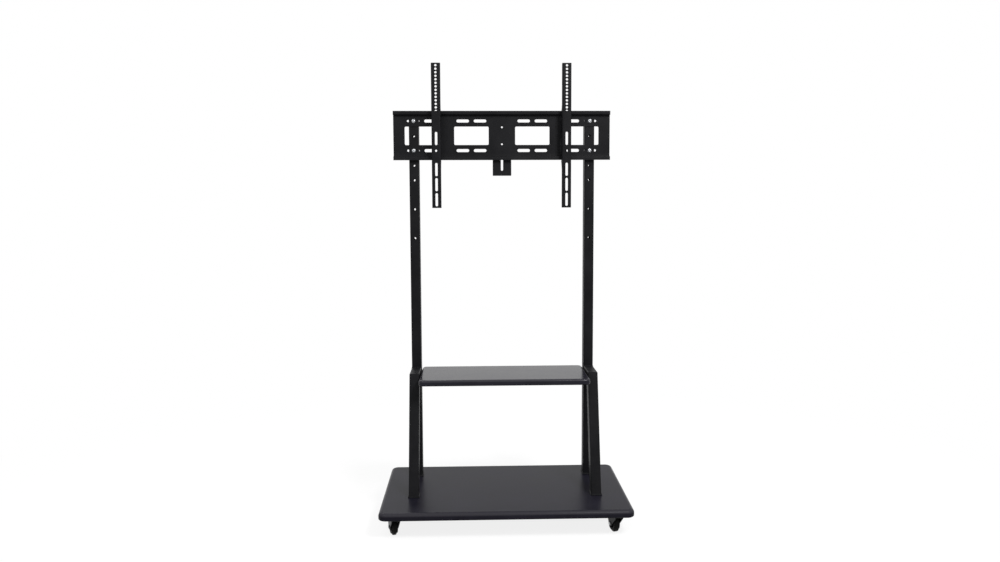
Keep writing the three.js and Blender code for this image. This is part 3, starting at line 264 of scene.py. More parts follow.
# %% Dress the CAD nodes
for row in frame["record"]["subparts"]:
    node = frame["nodes"][row["node"]]
    node.data.materials.clear()
    node.data.materials.append(FINISH_OF_SLOT[row["material_slot"]])
print("nodes dressed:", len(frame["nodes"]))

# %% [markdown]
# Every new surface is made in the same way: numpy works out all its points at once, and a
# face is a row of corner numbers. `grid_faces` joins points that lie in rows and columns.
# A part is such a pair, its points and its groups of faces, and parts can be joined and
# moved before anything is built in Blender.

# %% Points and faces
def grid_faces(rows, columns, wrap_rows=False, wrap_columns=False):
    """Corner numbers of the quads of a grid whose points are numbered row by row."""
    row = np.arange(rows if wrap_rows else rows - 1)
    column = np.arange(columns if wrap_columns else columns - 1)
    row, column = (part.ravel() for part in np.meshgrid(row, column, indexing="ij"))
    below, right = (row + 1) % rows, (column + 1) % columns
    here, under = row * columns, below * columns
    return np.stack([here + column, here + right, under + right, under + column], axis=1)


def joined(*parts):
    """Several (points, face groups) as one: each part's corner numbers move up by the points before it."""
    points, groups, count = [], [], 0
    for part_points, part_groups in parts:
        points.append(part_points)
        groups += [np.asarray(group) + count for group in part_groups]
        count += len(part_points)
    return np.concatenate(points), groups


def moved(part, turn=None, shift=(0, 0, 0)):
    """A part whose points are turned by a 3 x 3 matrix and then shifted."""
    points, groups = part
    if turn is not None:
        points = points @ np.asarray(turn).T
    return points + np.asarray(shift, float), groups


def turn_matrix(degrees, axis):
    """The 3 x 3 matrix of a turn about X, Y or Z by the right-hand rule."""
    return np.array(Matrix.Rotation(np.radians(degrees), 3, axis))


print("a grid of 3 by 4 points has", len(grid_faces(3, 4)), "faces")

# %% [markdown]
# Sheets of steel are drawn as a surface without thickness that runs mid-way through the
# metal, and a Solidify modifier gives them their gauge, just as a folded sheet is drawn by
# its middle line. The modifier is applied at once. Then edges sharper than an angle are
# kept crisp, the piece is seated on the body it rides on, and the nodes it stands for are hidden.

# %% From a part to a piece
WELD_DISTANCE, SHARP_ANGLE = 0.002, 35.0


def finished_piece(name, part, nodes, slot="coated_steel", body="stand", gauge=0.0, sharp=SHARP_ANGLE,
                   finish=None):
    """Makes the mesh, gives a sheet its gauge, keeps edges over the sharp angle crisp, and seats it."""
    points, groups = part
    mesh = bpy.data.meshes.new(name)
    mesh.from_pydata((points * MM).tolist(), [], [row for group in groups for row in group.tolist()])
    shell = bmesh.new()
    shell.from_mesh(mesh)
    bmesh.ops.remove_doubles(shell, verts=shell.verts, dist=WELD_DISTANCE * MM)
    bmesh.ops.recalc_face_normals(shell, faces=shell.faces)
    shell.to_mesh(mesh)
    shell.free()
    piece = bpy.data.objects.new(name, mesh)
    bpy.context.scene.collection.objects.link(piece)
    if gauge:
        solid = piece.modifiers.new("gauge", "SOLIDIFY")
        solid.thickness, solid.offset, solid.use_even_offset = gauge * MM, 0.0, True
        graph = bpy.context.evaluated_depsgraph_get()
        applied = bpy.data.meshes.new_from_object(piece.evaluated_get(graph))
        piece.modifiers.clear()
        piece.data = applied
        applied.name = name
        bpy.data.meshes.remove(mesh)
        mesh = applied
    mesh.shade_smooth()
    mesh.set_sharp_from_angle(angle=np.radians(sharp))
    mesh.materials.append(finish or FINISH_OF_SLOT[slot])
    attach(piece, body)
    if nodes:
        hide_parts(*nodes)
    return piece


print("corner points closer than", WELD_DISTANCE, "mm become one")

# %% [markdown]
# The photograph was taken from a little to the left, at about waist height, and slightly
# downwards. The camera's place and angles come from a fit of the stand's straight edges.
# It is made before the pieces, because everything else is judged through it.

# %% Camera
CAMERA_PLACE = np.array([-87.1, -2498.8, 947.1])
CAMERA_YAW, CAMERA_PITCH, CAMERA_ROLL = 0.0305, 0.0901, -0.0038  # radians
SENSOR_WIDTH, FOCAL_SHARE_OF_WIDTH = 36.0, 0.83257
FARTHEST_SEEN = 50.0  # metres

turned = turn_matrix(-np.degrees(CAMERA_YAW), "Z")
tipped = turn_matrix(90 - np.degrees(CAMERA_PITCH), "X")
rolled = turn_matrix(np.degrees(CAMERA_ROLL), "Z")
lens = bpy.data.cameras.new("camera")
lens.sensor_fit, lens.sensor_width = "HORIZONTAL", SENSOR_WIDTH
lens.lens = FOCAL_SHARE_OF_WIDTH * SENSOR_WIDTH
lens.clip_end = FARTHEST_SEEN
camera = bpy.data.objects.new("camera", lens)
camera.matrix_world = Matrix.Translation(CAMERA_PLACE * MM) @ Matrix(turned @ tipped @ rolled).to_4x4()
bpy.context.scene.collection.objects.link(camera)
bpy.context.scene.camera = camera
print("lens:", round(lens.lens, 2), "mm")

# %% [markdown]
# The base board and the shelf are slabs with round corners and rolled edges. Such a slab is
# a stack of rings. Each ring is the board's outline, drawn in by a little where the edge
# rolls over, and the rings' heights and insets follow two quarter circles: a tight one at
# the underside and a generous one at the top. The first and the last ring are closed flat.

# %% Stacked outlines
def rounded_outline(width, depth, radius, steps=6):
    """Points anticlockwise round a rectangle whose corners are quarter circles."""
    angle = (np.arange(4)[:, None] * np.pi / 2 + np.linspace(0, np.pi / 2, steps + 1)).ravel()
    centre = np.array([[1, 1], [-1, 1], [-1, -1], [1, -1]]) * [width / 2 - radius, depth / 2 - radius]
    return np.repeat(centre, steps + 1, axis=0) + radius * np.stack([np.cos(angle), np.sin(angle)], axis=1)


def capped_stack(layers):
    """Outlines of equally many points, joined one to the next and closed flat at both ends."""
    count, last = len(layers[0]), (len(layers) - 1) * len(layers[0])
    lids = [np.arange(count)[None, ::-1], (last + np.arange(count))[None]]
    return np.concatenate(layers), [grid_faces(len(layers), count, wrap_columns=True), *lids]


def stacked_outline(width, depth, corner, rings, steps=8):
    """Ring k, given as (inset, height), is the rounded rectangle drawn in by its inset at its height."""
    layers = [(rounded_outline(width - 2 * inset, depth - 2 * inset, corner - inset, steps), height)
              for inset, height in rings]
    return capped_stack([np.insert(outline, 2, height, axis=1) for outline, height in layers])


def rolled_rings(bottom, top, under_round, top_round, steps=10, margin=1.0):
    """A quarter circle at the underside and one at the top, each with a level margin inside it."""
    angle = np.linspace(0, np.pi / 2, steps + 1)
    inset = [under_round + margin, *under_round * (1 - np.sin(angle)), *top_round * (1 - np.cos(angle)),
             top_round + margin]
    height = [bottom, *bottom + under_round * (1 - np.cos(angle)),
              *top - top_round * (1 - np.sin(angle)), top]
    return np.column_stack([inset, height])


def wrapped_board(node, corner, under_round, top_round):
    """The box of a CAD board as a slab with round corners and rolled edges."""
    low, high = cad_box(node)
    rings = rolled_rings(low[2], high[2], under_round, top_round)
    slab = stacked_outline(*(high - low)[:2], corner, rings, steps=12)
    return moved(slab, shift=(*(low + high)[:2] / 2, 0))


base_slab = wrapped_board("base_board", corner=22, under_round=4, top_round=11)
base = finished_piece("base_board_wrapped", base_slab, ["base_board"], "board")
shelf_slab = wrapped_board("shelf_board", corner=15, under_round=3.5, top_round=7)
shelf = finished_piece("shelf_board_wrapped", shelf_slab, ["shelf_board"], "board", finish=smooth_foil)
print("boards:", base.name, shelf.name)

# %% [markdown]
# The tubes, the mount plate and the arms are all sheet steel with holes, bent along straight
# lines. So they share one idea. The sheet is first drawn flat: lines across and along it
# make a grid of cells, and a hole sits inside one block of cells. From each corner of the
# block a fan of triangles reaches the nearest quarter of the hole, and one flat face fills
# each side between two fans. Only then is the flat sheet bent, by a function that carries
# each line to its place on the bent section.

# %% Flat sheet with holes
def ring_faces(arcs, corners, sides):
    """A fan from each corner to its quarter of the hole, and a flat face along each side between."""
    fans = [np.stack([np.full(len(arc) - 1, corner), arc[1:], arc[:-1]], axis=1)
            for arc, corner in zip(arcs, corners)]
    strips = []
    for k, between in enumerate(sides):
        after = (k + 1) % 4
        strips.append(np.array([[corners[k], *between, corners[after], arcs[after][0], arcs[k][-1]]]))
    return fans + strips


def sheet_lines(own, holes, axis):
    """The sheet's own lines and those on which the blocks of its holes end, in order."""
    ends = [place for low, high, _ in holes for place in (low[axis], high[axis])]
    return np.unique(np.round([*own, *ends], 4))


def pierced_sheet(across, along, holes):
    """Grid of the lines across and along, with each hole (block low, block high, outline) let in."""
    across, along = sheet_lines(across, holes, 0), sheet_lines(along, holes, 1)
    columns, rows = len(across), len(along)
    points = np.stack(np.meshgrid(across, along), axis=2).reshape(-1, 2)
    filled = np.zeros((rows - 1, columns - 1), bool)
    strips = []
    for low, high, outline in holes:
        first, last = np.searchsorted(across, np.round([low[0], high[0]], 4))
        bottom, top = np.searchsorted(along, np.round([low[1], high[1]], 4))
        filled[bottom:top, first:last] = True
        corners = [top * columns + last, top * columns + first, bottom * columns + first,
                   bottom * columns + last]
        sides = [top * columns + np.arange(last - 1, first, -1),
                 np.arange(top - 1, bottom, -1) * columns + first,
                 bottom * columns + np.arange(first + 1, last),
                 np.arange(bottom + 1, top) * columns + last]
        arcs = np.split(len(points) + np.arange(len(outline)), 4)
        strips += ring_faces(arcs, corners, sides)
        points = np.concatenate([points, outline])
    cells = grid_faces(rows, columns)[~filled.ravel()]
    return points, [cells, *strips]


def hole_block(middle, width, height, margin, radius=None):
    """A hole, round at its ends unless told a radius, and the block of sheet a margin wider round it."""
    middle = np.array(middle, float)
    half = np.array([width, height]) / 2 + margin
    outline = rounded_outline(width, height, radius or min(width, height) / 2)
    return middle - half, middle + half, outline + middle


washer_sheet = pierced_sheet([0, 20], [0, 20], [hole_block((10, 10), 8, 8, 4)])
print("a square sheet with one hole has", len(washer_sheet[0]), "points")

# %% [markdown]
# A bent section is a line of straight runs joined by arcs. It is kept as a table: how far
# along the sheet, and where that is in the section. Reading a place off the table bends the
# sheet, and the length of the sheet never changes, as it doesn't in a press brake.

# %% Bent section
def lengths_along(places):
    """The length of a line of places up to each of them."""
    return np.concatenate([[0], np.cumsum(np.linalg.norm(np.diff(places, axis=0), axis=1))])


def bent_section(corners, radius, steps=5):
    """The length of sheet up to each place of a polyline with rounded corners, and the places."""
    corners = np.array(corners, float)
    places = [corners[:1]]
    for before, here, after in zip(corners, corners[1:], corners[2:]):
        arriving, leaving = here - before, after - here
        arriving, leaving = arriving / np.linalg.norm(arriving), leaving / np.linalg.norm(leaving)
        turn = np.arctan2(arriving[0] * leaving[1] - arriving[1] * leaving[0], arriving @ leaving)
        start = here - arriving * radius * np.tan(abs(turn) / 2)
        inward = np.sign(turn) * np.array([-arriving[1], arriving[0]])
        angle = np.linspace(0, abs(turn), steps + 1)[:, None]
        places.append(start + radius * (np.sin(angle) * arriving + (1 - np.cos(angle)) * inward))
    places = np.concatenate([*places, corners[-1:]])
    return lengths_along(places), places


def bend(length, places, at):
    """Where the sheet's line at a length comes to lie in the section."""
    return np.stack([np.interp(at, length, places[:, 0]), np.interp(at, length, places[:, 1])], axis=1)


def bent_sheet(section, ends, holes, axes=(0, 1, 2)):
    """A flat sheet with holes, bent; axes says where the section's two ways and the run go in X, Y, Z."""
    length, places = section
    points, groups = pierced_sheet(length, ends, holes)
    return np.column_stack([bend(length, places, points[:, 0]), points[:, 1]])[:, axes], groups


right_angle = bent_section([(0, 0), (20, 0), (20, 20)], 2.5)
print("sheet for a right angle of 20 by 20 mm:", round(right_angle[0][-1], 1), "mm")

# %% [markdown]
# Each upright is a rectangular tube, 30 by 40 mm, with a column of holes drilled through
# both walls so that the mount and a shelf can be bolted at several heights. As a sheet it
# is wrapped once round: the lines across are the way round the section, starting in the
# middle of a side wall, and the lines along run up the tube.

# %% Uprights
TUBE_WALL, TUBE_CORNER = 1.5, 3.0
upright_low, upright_high = cad_box("right_upright")
TUBE_WIDTH, TUBE_DEPTH, _ = upright_high - upright_low
UPRIGHT_X, UPRIGHT_Y, _ = (upright_low + upright_high) / 2
UPRIGHT_FRONT, UPRIGHT_BOTTOM = upright_low[1:]
UPRIGHT_REAR, UPRIGHT_TOP = upright_high[1:]
plate_low, plate_high = cad_box("mount_plate")
MOUNT_Z = (plate_low[2] + plate_high[2]) / 2
HOLE_PITCH, HOLE, HOLE_MARGIN = 45.2, (7.6, 7.6), 3.0
HOLE_STEPS = np.array([1, 0, -1, -2, -3, -5, -7])


def upright_tube():
    """The middle line starts in the left wall's middle; the front wall's is a quarter of the way on."""
    half = np.array([TUBE_WIDTH - TUBE_WALL, TUBE_DEPTH - TUBE_WALL]) / 2
    corners = half * [(-1, 0), (-1, -1), (1, -1), (1, 1), (-1, 1), (-1, 0)]
    section = bent_section(corners, TUBE_CORNER - TUBE_WALL / 2, steps=6)
    holes = [hole_block((share * section[0][-1], z), *HOLE, HOLE_MARGIN)
             for share in (0.25, 0.75) for z in MOUNT_Z + HOLE_STEPS * HOLE_PITCH]
    return bent_sheet(section, (UPRIGHT_BOTTOM, UPRIGHT_TOP), holes)


for side, sign in SIDES.items():
    tube = moved(upright_tube(), shift=(sign * UPRIGHT_X, UPRIGHT_Y, 0))
    finished_piece(f"{side}_upright_tube", tube, [f"{side}_upright"], gauge=TUBE_WALL)
print("uprights stand from", UPRIGHT_BOTTOM, "to", UPRIGHT_TOP, "mm")

# %% [markdown]
# The front leg leans back and meets the level shelf arm in a mitre: both tubes are cut along
# the line that halves the angle between them, so their sections match. Each tube is its own
# outline carried along a straight axis, and each point of the outline runs until it meets
# the cutting plane. That one rule makes the level foot, the mitre and the square end.

# %% Leaning legs and shelf arms
LEG_FOOT_FRONT, MITRE_SHARP = -89.0, 25.0
BASE_BOTTOM, BASE_TOP = (corner[2] for corner in cad_box("base_board"))
(_, LEG_TOP_FRONT, _), (_, _, SHELF_ARM_TOP) = cad_box("right_shelf_arm")
LEG_LEAN = np.arctan2(LEG_TOP_FRONT - LEG_FOOT_FRONT, SHELF_ARM_TOP - BASE_TOP)
LEG_LEVEL_DEPTH = TUBE_DEPTH / np.cos(LEG_LEAN)


def along_to_plane(starts, axis, plane_point, plane_normal):
    """Start s runs along the axis a to s + t a, with t = (p - s).n / a.n, where it meets the plane."""
    distance = ((plane_point - starts) @ plane_normal) / (axis @ plane_normal)
    return starts + distance[:, None] * axis


def leg_and_arm(side_x):
    """Three outlines: the level foot, the mitre, whose normal is the sum of both axes, and the end."""
    outline = rounded_outline(TUBE_WIDTH, TUBE_DEPTH, TUBE_CORNER)
    across, rearward, up = np.identity(3)
    lean_axis = np.array([0, np.sin(LEG_LEAN), np.cos(LEG_LEAN)])
    middle = np.array([side_x, LEG_FOOT_FRONT + LEG_LEVEL_DEPTH / 2, BASE_TOP])
    start = middle + outline @ [across, np.cross(lean_axis, across)]
    foot = along_to_plane(start, lean_axis, (0, 0, UPRIGHT_BOTTOM), up)
    mitre = along_to_plane(start, lean_axis, (0, LEG_TOP_FRONT, SHELF_ARM_TOP), lean_axis + rearward)
    return capped_stack([foot, mitre, along_to_plane(mitre, rearward, (0, UPRIGHT_FRONT, 0), rearward)])


for side, sign in SIDES.items():
    finished_piece(f"{side}_leg_and_arm", leg_and_arm(sign * UPRIGHT_X),
                   [f"{side}_front_leg", f"{side}_shelf_arm"], sharp=MITRE_SHARP)
print("legs lean by", round(np.degrees(LEG_LEAN), 1), "degrees")

# %% [markdown]
# The mount plate is one folded sheet, 670 mm wide. Its web lies on the uprights and is
# pierced by four windows, sixteen slots and two round holes. Above and below, the sheet is
# folded forward and then up or down into a lip, which makes it stiff and gives the arms
# something to hook on to. The flat sheet's second direction is the way along that fold.

# %% Mount plate
SHEET_GAUGE, INNER_BEND = 2.0, 1.5
BEND_RADIUS = INNER_BEND + SHEET_GAUGE / 2
PLATE_WIDTH, PLATE_FOLD, PLATE_HEIGHT = plate_high - plate_low
LIP_HEIGHT = 12.0
WINDOW_SIZE, WINDOW_CORNER, WINDOW_MARGIN = (106.5, 56.4), 4.0, 2.8
WINDOW_X = np.array([-246.75, -94.25, 94.25, 246.75])
PLATE_SLOT, BOLT_SLOT, PLATE_SLOT_OFFSET = (38.8, 9.4), (38.8, 6.6), 26.7
CENTRE_HOLE, CENTRE_HOLE_OFFSET = (5.5, 5.5), 26.0


def mount_plate():
    """X runs across; the length along the folded section gives Y and Z."""
    web_y, lip_y = UPRIGHT_FRONT - SHEET_GAUGE / 2, UPRIGHT_FRONT - PLATE_FOLD + SHEET_GAUGE / 2
    fold = PLATE_HEIGHT / 2 - LIP_HEIGHT + SHEET_GAUGE / 2
    length, places = bent_section([
        (lip_y, plate_low[2]), (lip_y, MOUNT_Z - fold), (web_y, MOUNT_Z - fold),
        (web_y, MOUNT_Z + fold), (lip_y, MOUNT_Z + fold), (lip_y, plate_high[2])], BEND_RADIUS)
    middle = length[-1] / 2
    blocks = []
    for x in WINDOW_X:
        blocks.append(hole_block((x, middle), *WINDOW_SIZE, WINDOW_MARGIN, WINDOW_CORNER))
        for row in (-HOLE_PITCH, HOLE_PITCH):
            for offset in (-PLATE_SLOT_OFFSET, PLATE_SLOT_OFFSET):
                slot = BOLT_SLOT if abs(x + offset) > WINDOW_X[-1] else PLATE_SLOT
                blocks.append(hole_block((x + offset, middle + row), *slot, HOLE_MARGIN))
    for offset in (-CENTRE_HOLE_OFFSET, CENTRE_HOLE_OFFSET):
        blocks.append(hole_block((0, middle + offset), *CENTRE_HOLE, HOLE_MARGIN))
    points, groups = pierced_sheet((-PLATE_WIDTH / 2, PLATE_WIDTH / 2), length, blocks)
    return np.column_stack([points[:, 0], bend(length, places, points[:, 1])]), groups


plate = finished_piece("folded_mount_plate", mount_plate(), ["mount_plate"], gauge=SHEET_GAUGE)
print("mount plate:", len(plate.data.polygons), "faces")

# %% [markdown]
# A mount arm is a channel. Its web faces forward and carries a column of round holes and
# four slots. Its two flanges are cut to shape: shallow at both ends, deep in the middle,
# with a hook over the plate's upper lip and a ledge under the lower one. Hook and ledge are
# set out from the plate's box, with a touch gap of 0.3 mm round the lip.

# %% Where the arms hang
arm_low, arm_high = cad_box("right_mount_arm")
ARM_X = {side: sum(cad_box(f"{side}_mount_arm"))[0] / 2 for side in SIDES}
ARM_WIDTH, ARM_FRONT, LEDGE_REAR = arm_high[0] - arm_low[0], arm_low[1], arm_high[1]
ARM_BOTTOM, ARM_TOP = arm_low[2], arm_high[2]
END_DEPTH, SHOULDER, SLOPE, HOOK_GAUGE, HOOK_REACH = 14.0, 26.0, 14.0, 4.5, 8.0
TOUCH_GAP, LEDGE_GAP = 0.3, 1.0
ARM_END_REAR = ARM_FRONT + END_DEPTH
LIP_FRONT_GAP = plate_low[1] - TOUCH_GAP
HOOK_FRONT = plate_low[1] + SHEET_GAUGE + TOUCH_GAP
HOOK_INNER_Z, HOOK_TIP_Z = plate_high[2] + TOUCH_GAP, plate_high[2] - HOOK_REACH
LEDGE_TOP = plate_low[2] - LEDGE_GAP
LEDGE_BOTTOM = LEDGE_TOP - SHEET_GAUGE
ARM_HOLE, ARM_SLOT, BLOCK_REACH = (7.0, 7.0), (7.5, 40.0), 8.0
HOLE_EDGE, HOLE_SPACING, HOLE_COUNT, LONE_HOLE_DROP = 7.4, 10.5, 14, 47.9
SLOT_EDGE, SLOT_SPACING, SLOT_COUNT, LONE_SLOT_DROP = 25.3, 46.0, 3, 10.6
HOLES_Z = [*ARM_TOP - HOLE_EDGE - HOLE_SPACING * np.arange(HOLE_COUNT), MOUNT_Z - LONE_HOLE_DROP]
SLOTS_Z = [*ARM_BOTTOM + SLOT_EDGE + SLOT_SPACING * np.arange(SLOT_COUNT), MOUNT_Z - LONE_SLOT_DROP]
print("arms hang", ARM_X["right"] - ARM_X["left"], "mm apart")

# %% [markdown]
# The web and its bends are a pierced sheet again. Each flange is one flat face whose front
# edge shares the points of the bend, and the ledge is a small pierced plate between the two.

# %% Mount arms
SCREW_HOLE, LEDGE_OVERLAP = (5.6, 5.6), 0.9
HOLE_BLOCK_MARGIN, SLOT_BLOCK_MARGIN, SCREW_BLOCK_MARGIN = 1.7, 2.5, 1.5
SAFETY_SCREW_Y = sum(cad_box("left_safety_screw"))[1] / 2


def side_faces(outline, half_apart):
    """One flat face with an outline in Y and Z, on the left and again on the right."""
    return [(np.insert(outline, 0, x, axis=1), [np.arange(len(outline))[None]])
            for x in (-half_apart, half_apart)]


def arm_channel():
    """Web and bends from a flat sheet; the flanges' outlines in Y and Z, one on each side."""
    flange_x = (ARM_WIDTH - SHEET_GAUGE) / 2
    web_y = ARM_FRONT + SHEET_GAUGE / 2
    rim_y = web_y + BEND_RADIUS
    section = bent_section(
        [(-flange_x, rim_y), (-flange_x, web_y), (flange_x, web_y), (flange_x, rim_y)], BEND_RADIUS, steps=4)
    middle = section[0][-1] / 2
    blocks = []
    for heights, size, margin in ((HOLES_Z, ARM_HOLE, HOLE_BLOCK_MARGIN),
                                  (SLOTS_Z, ARM_SLOT, SLOT_BLOCK_MARGIN)):
        for z in heights:
            low, high, outline = hole_block((middle, z), *size, margin)
            blocks.append(((middle - BLOCK_REACH, low[1]), (middle + BLOCK_REACH, high[1]), outline))
    rows = sheet_lines((ARM_BOTTOM, ARM_TOP), blocks, 1)
    hook_top, hook_rear = HOOK_INNER_Z + HOOK_GAUGE, HOOK_FRONT + HOOK_GAUGE
    rear = np.array([
        (ARM_END_REAR, ARM_TOP), (ARM_END_REAR, hook_top + SLOPE), (LIP_FRONT_GAP, hook_top),
        (HOOK_FRONT, hook_top), (hook_rear, HOOK_INNER_Z), (hook_rear, HOOK_TIP_Z),
        (HOOK_FRONT, HOOK_TIP_Z), (HOOK_FRONT, HOOK_INNER_Z), (LIP_FRONT_GAP, HOOK_INNER_Z),
        (LIP_FRONT_GAP, LEDGE_TOP), (LEDGE_REAR, LEDGE_TOP), (LEDGE_REAR, LEDGE_BOTTOM),
        (LIP_FRONT_GAP, LEDGE_BOTTOM - SHOULDER + SLOPE), (ARM_END_REAR, LEDGE_BOTTOM - SHOULDER),
        (ARM_END_REAR, ARM_BOTTOM)])
    outline = np.concatenate([np.insert(rows[:, None], 0, rim_y, axis=1), rear])
    return joined(bent_sheet(section, rows, blocks), *side_faces(outline, flange_x))


def ledge_plate():
    """The level plate between the flanges, with the hole of the safety screw."""
    half = ARM_WIDTH / 2 - SHEET_GAUGE + LEDGE_OVERLAP
    block = hole_block((0, SAFETY_SCREW_Y), *SCREW_HOLE, SCREW_BLOCK_MARGIN)
    points, groups = pierced_sheet((-half, half), (ARM_END_REAR, LEDGE_REAR), [block])
    return np.insert(points, 2, (LEDGE_BOTTOM + LEDGE_TOP) / 2, axis=1), groups


for side, x in ARM_X.items():
    channel = moved(joined(arm_channel(), ledge_plate()), shift=(x, 0, 0))
    arm = finished_piece(f"{side}_arm_channel", channel, [f"{side}_mount_arm"], body=f"{side}_arm",
                         gauge=SHEET_GAUGE)
print("each arm:", len(HOLES_Z), "holes,", len(SLOTS_Z), "slots,", len(arm.data.polygons), "faces")

# %% [markdown]
# The lock tab hangs from the back of the plate, and its long slot takes a padlock, which
# keeps the arms from being lifted off. It is a small flat sheet with one slot.

# %% Lock tab
TAB_SLOT, TAB_SLOT_EDGE, TAB_CORNER = (6.8, 42.0), 15.7, 2.0


def lock_tab():
    """Outline and slot have as many points each, so a closed strip of quads joins them."""
    low, high = cad_box("lock_tab")
    (width, _, height), (_, middle_y, middle_z) = high - low, (low + high) / 2
    edge = rounded_outline(width, height, TAB_CORNER) + [0, middle_z]
    slot = rounded_outline(*TAB_SLOT, TAB_SLOT[0] / 2) + [0, low[2] + TAB_SLOT_EDGE + TAB_SLOT[1] / 2]
    flat = np.concatenate([slot, edge])
    return np.insert(flat, 1, middle_y, axis=1), [grid_faces(2, len(edge), wrap_columns=True)]


tab = finished_piece("slotted_lock_tab", lock_tab(), ["lock_tab"], gauge=SHEET_GAUGE)
print("lock tab:", len(tab.data.polygons), "faces")

# %% [markdown]
# Turned and moulded parts come from one more family of surfaces: rings stacked along an axis.
# A ring's radius may change with the angle, so the same rule makes a washer, a hexagon nut,
# a socket, a cross recess and a screw thread. Stacks of rounded rectangles make the boards,
# caps and plates.

# %% Rings about an axis
RING_STEPS = 48


def ring_angles(steps=RING_STEPS):
    """The angles of a ring's points, evenly round from +X."""
    return np.arange(steps) * 2 * np.pi / steps


def turned_rings(rows, steps=RING_STEPS, closed=False):
    """Row k is (radius, height), each one number or one per angle; x = r cos a, y = r sin a, z = height."""
    angle = ring_angles(steps)
    radius, height = (np.stack([np.broadcast_to(row[i], steps) for row in rows]) for i in (0, 1))
    points = np.stack([radius * np.cos(angle), radius * np.sin(angle), height], axis=2).reshape(-1, 3)
    return points, [grid_faces(len(rows), steps, wrap_rows=closed, wrap_columns=True)]


def polygon_radius(sides, apothem):
    """Distance to a regular polygon's side at each angle: apothem / cos(angle from that side's middle)."""
    sector = 2 * np.pi / sides
    return apothem / np.cos((ring_angles() + sector / 2) % sector - sector / 2)


def arc_rows(start, end, steps=5):
    """A quarter of an ellipse: shares 1 - cos t and sin t of the way, so it leaves its start upright."""
    turn = np.linspace(0, np.pi / 2, steps + 1)
    return [(start[0] + (end[0] - start[0]) * a, start[1] + (end[1] - start[1]) * b)
            for a, b in zip(1 - np.cos(turn), np.sin(turn))]


def hex_or_circle(apothem, radius):
    """A hexagon whose corners are turned down to a circle: the smaller of the two at each angle."""
    return np.minimum(polygon_radius(6, apothem), radius)


print("a hexagon's corner reaches", round(polygon_radius(6, 1.0).max(), 3), "times as far as its side")

# %% [markdown]
# A frame bolt is an M6 button head on a washer. Its crown is a quarter of an ellipse, and its
# hexagon socket is a ring that changes from round to six-sided and drops straight down. The
# thread is a ring whose radius goes up and down once per pitch, and moves on with the angle,
# which is all that a helix is. Sections are written as rows of radius and height, as on a
# turner's drawing.

# %% Bolts
M6_BOLT = {"shank": 3.0, "head": 5.3, "head_height": 3.3, "washer": 6.3, "washer_gauge": 1.2, "socket": 2.0,
           "socket_depth": 2.0, "thread": 14.0}
SAFETY_SCREW = {"shank": 2.5, "head": 4.75, "head_height": 2.8, "washer": 5.5, "washer_gauge": 0.8,
                "socket": 1.5, "socket_depth": 1.6, "thread": 7.5, "length": 11.0}
THREAD_PITCH, THREAD_DEPTH, STATIONS_PER_TURN = 1.0, 0.55, 6


def thread_rows(low, high, radius):
    """Radius r - depth * |2 frac(z / pitch - a / 2 pi) - 1|, from height low to high."""
    turns = (high - low) / THREAD_PITCH
    share = ring_angles() / (2 * np.pi)
    return [(radius - THREAD_DEPTH * np.abs(2 * ((z / THREAD_PITCH - share) % 1.0) - 1), z)
            for z in np.linspace(low, high, int(turns * STATIONS_PER_TURN))]


def socket_bolt(shank, head, head_height, washer, washer_gauge, socket, socket_depth, thread, length):
    """Head up on the plane z = 0: a washer ring, then a shank, crown and socket in one surface."""
    top, round_edge = washer_gauge + head_height, 0.25 * washer_gauge
    ring = turned_rings([
        (shank + 0.2, 0), (washer - round_edge, 0), (washer, round_edge), (washer, washer_gauge - round_edge),
        (washer - round_edge, washer_gauge), (shank + 0.2, washer_gauge)], closed=True)
    hexagon = polygon_radius(6, socket)
    body = turned_rings([
        (0, -length), (shank - 0.7, -length), *thread_rows(-length + 0.5, -length + thread, shank),
        (shank, -length + thread + 0.3), (shank, washer_gauge), (head - 0.2, washer_gauge),
        (head, washer_gauge + 0.2), *arc_rows((head, washer_gauge + 0.3 * head_height), (head * 0.55, top)),
        (socket * 1.2, top), (hexagon, top - 0.2), (hexagon, top - socket_depth),
        (0, top - socket_depth - 0.3 * socket)])
    return joined(ring, body)


print("a bolt's thread has", len(thread_rows(0, M6_BOLT["thread"], M6_BOLT["shank"])), "rings")

# %% [markdown]
# A flange nut is a hexagon, its corners turned down, that stands on a round flange. A pan
# screw has a cross recess: the radius of that ring swells four times in a turn.

# %% Nuts and screws
M6_NUT = {"bore": 3.1, "apothem": 5.0, "height": 6.0, "flange": 7.1, "flange_gauge": 1.4}
CROSS_LOW, CROSS_SWELL = 0.16, 0.26


def flange_nut(bore, apothem, height, flange, flange_gauge):
    """The section of nut and flange, closed round its bore."""
    return turned_rings([
        (bore + 0.3, 0), (flange - 0.3, 0), (flange, 0.3), (flange - 0.1, flange_gauge * 0.55),
        (apothem * 1.16, flange_gauge), (hex_or_circle(apothem, apothem * 1.16), flange_gauge + 0.1),
        (polygon_radius(6, apothem), flange_gauge + 0.3), (polygon_radius(6, apothem), height * 0.86),
        (hex_or_circle(apothem, apothem * 1.06), height * 0.94), (apothem * 0.95, height),
        (bore + 0.4, height), (bore, height - 0.4), (bore, 0.3)], closed=True)


def pan_screw(head, height, shank, length):
    """A pan head with a cross recess, whose outline is r (0.16 + 0.26 |cos 2a| cubed)."""
    cross = head * (CROSS_LOW + CROSS_SWELL * np.abs(np.cos(2 * ring_angles())) ** 3)
    return turned_rings([
        (0, -length), (shank, -length), (shank, 0), (head - 0.2, 0), (head, 0.2),
        *arc_rows((head, 0.3 * height), (head * 0.6, height)), (head * 0.48, height), (cross, height - 0.05),
        (cross * 0.75, height * 0.35), (0, height * 0.2)])


print("a nut is", 2 * M6_NUT["apothem"], "mm across its sides")

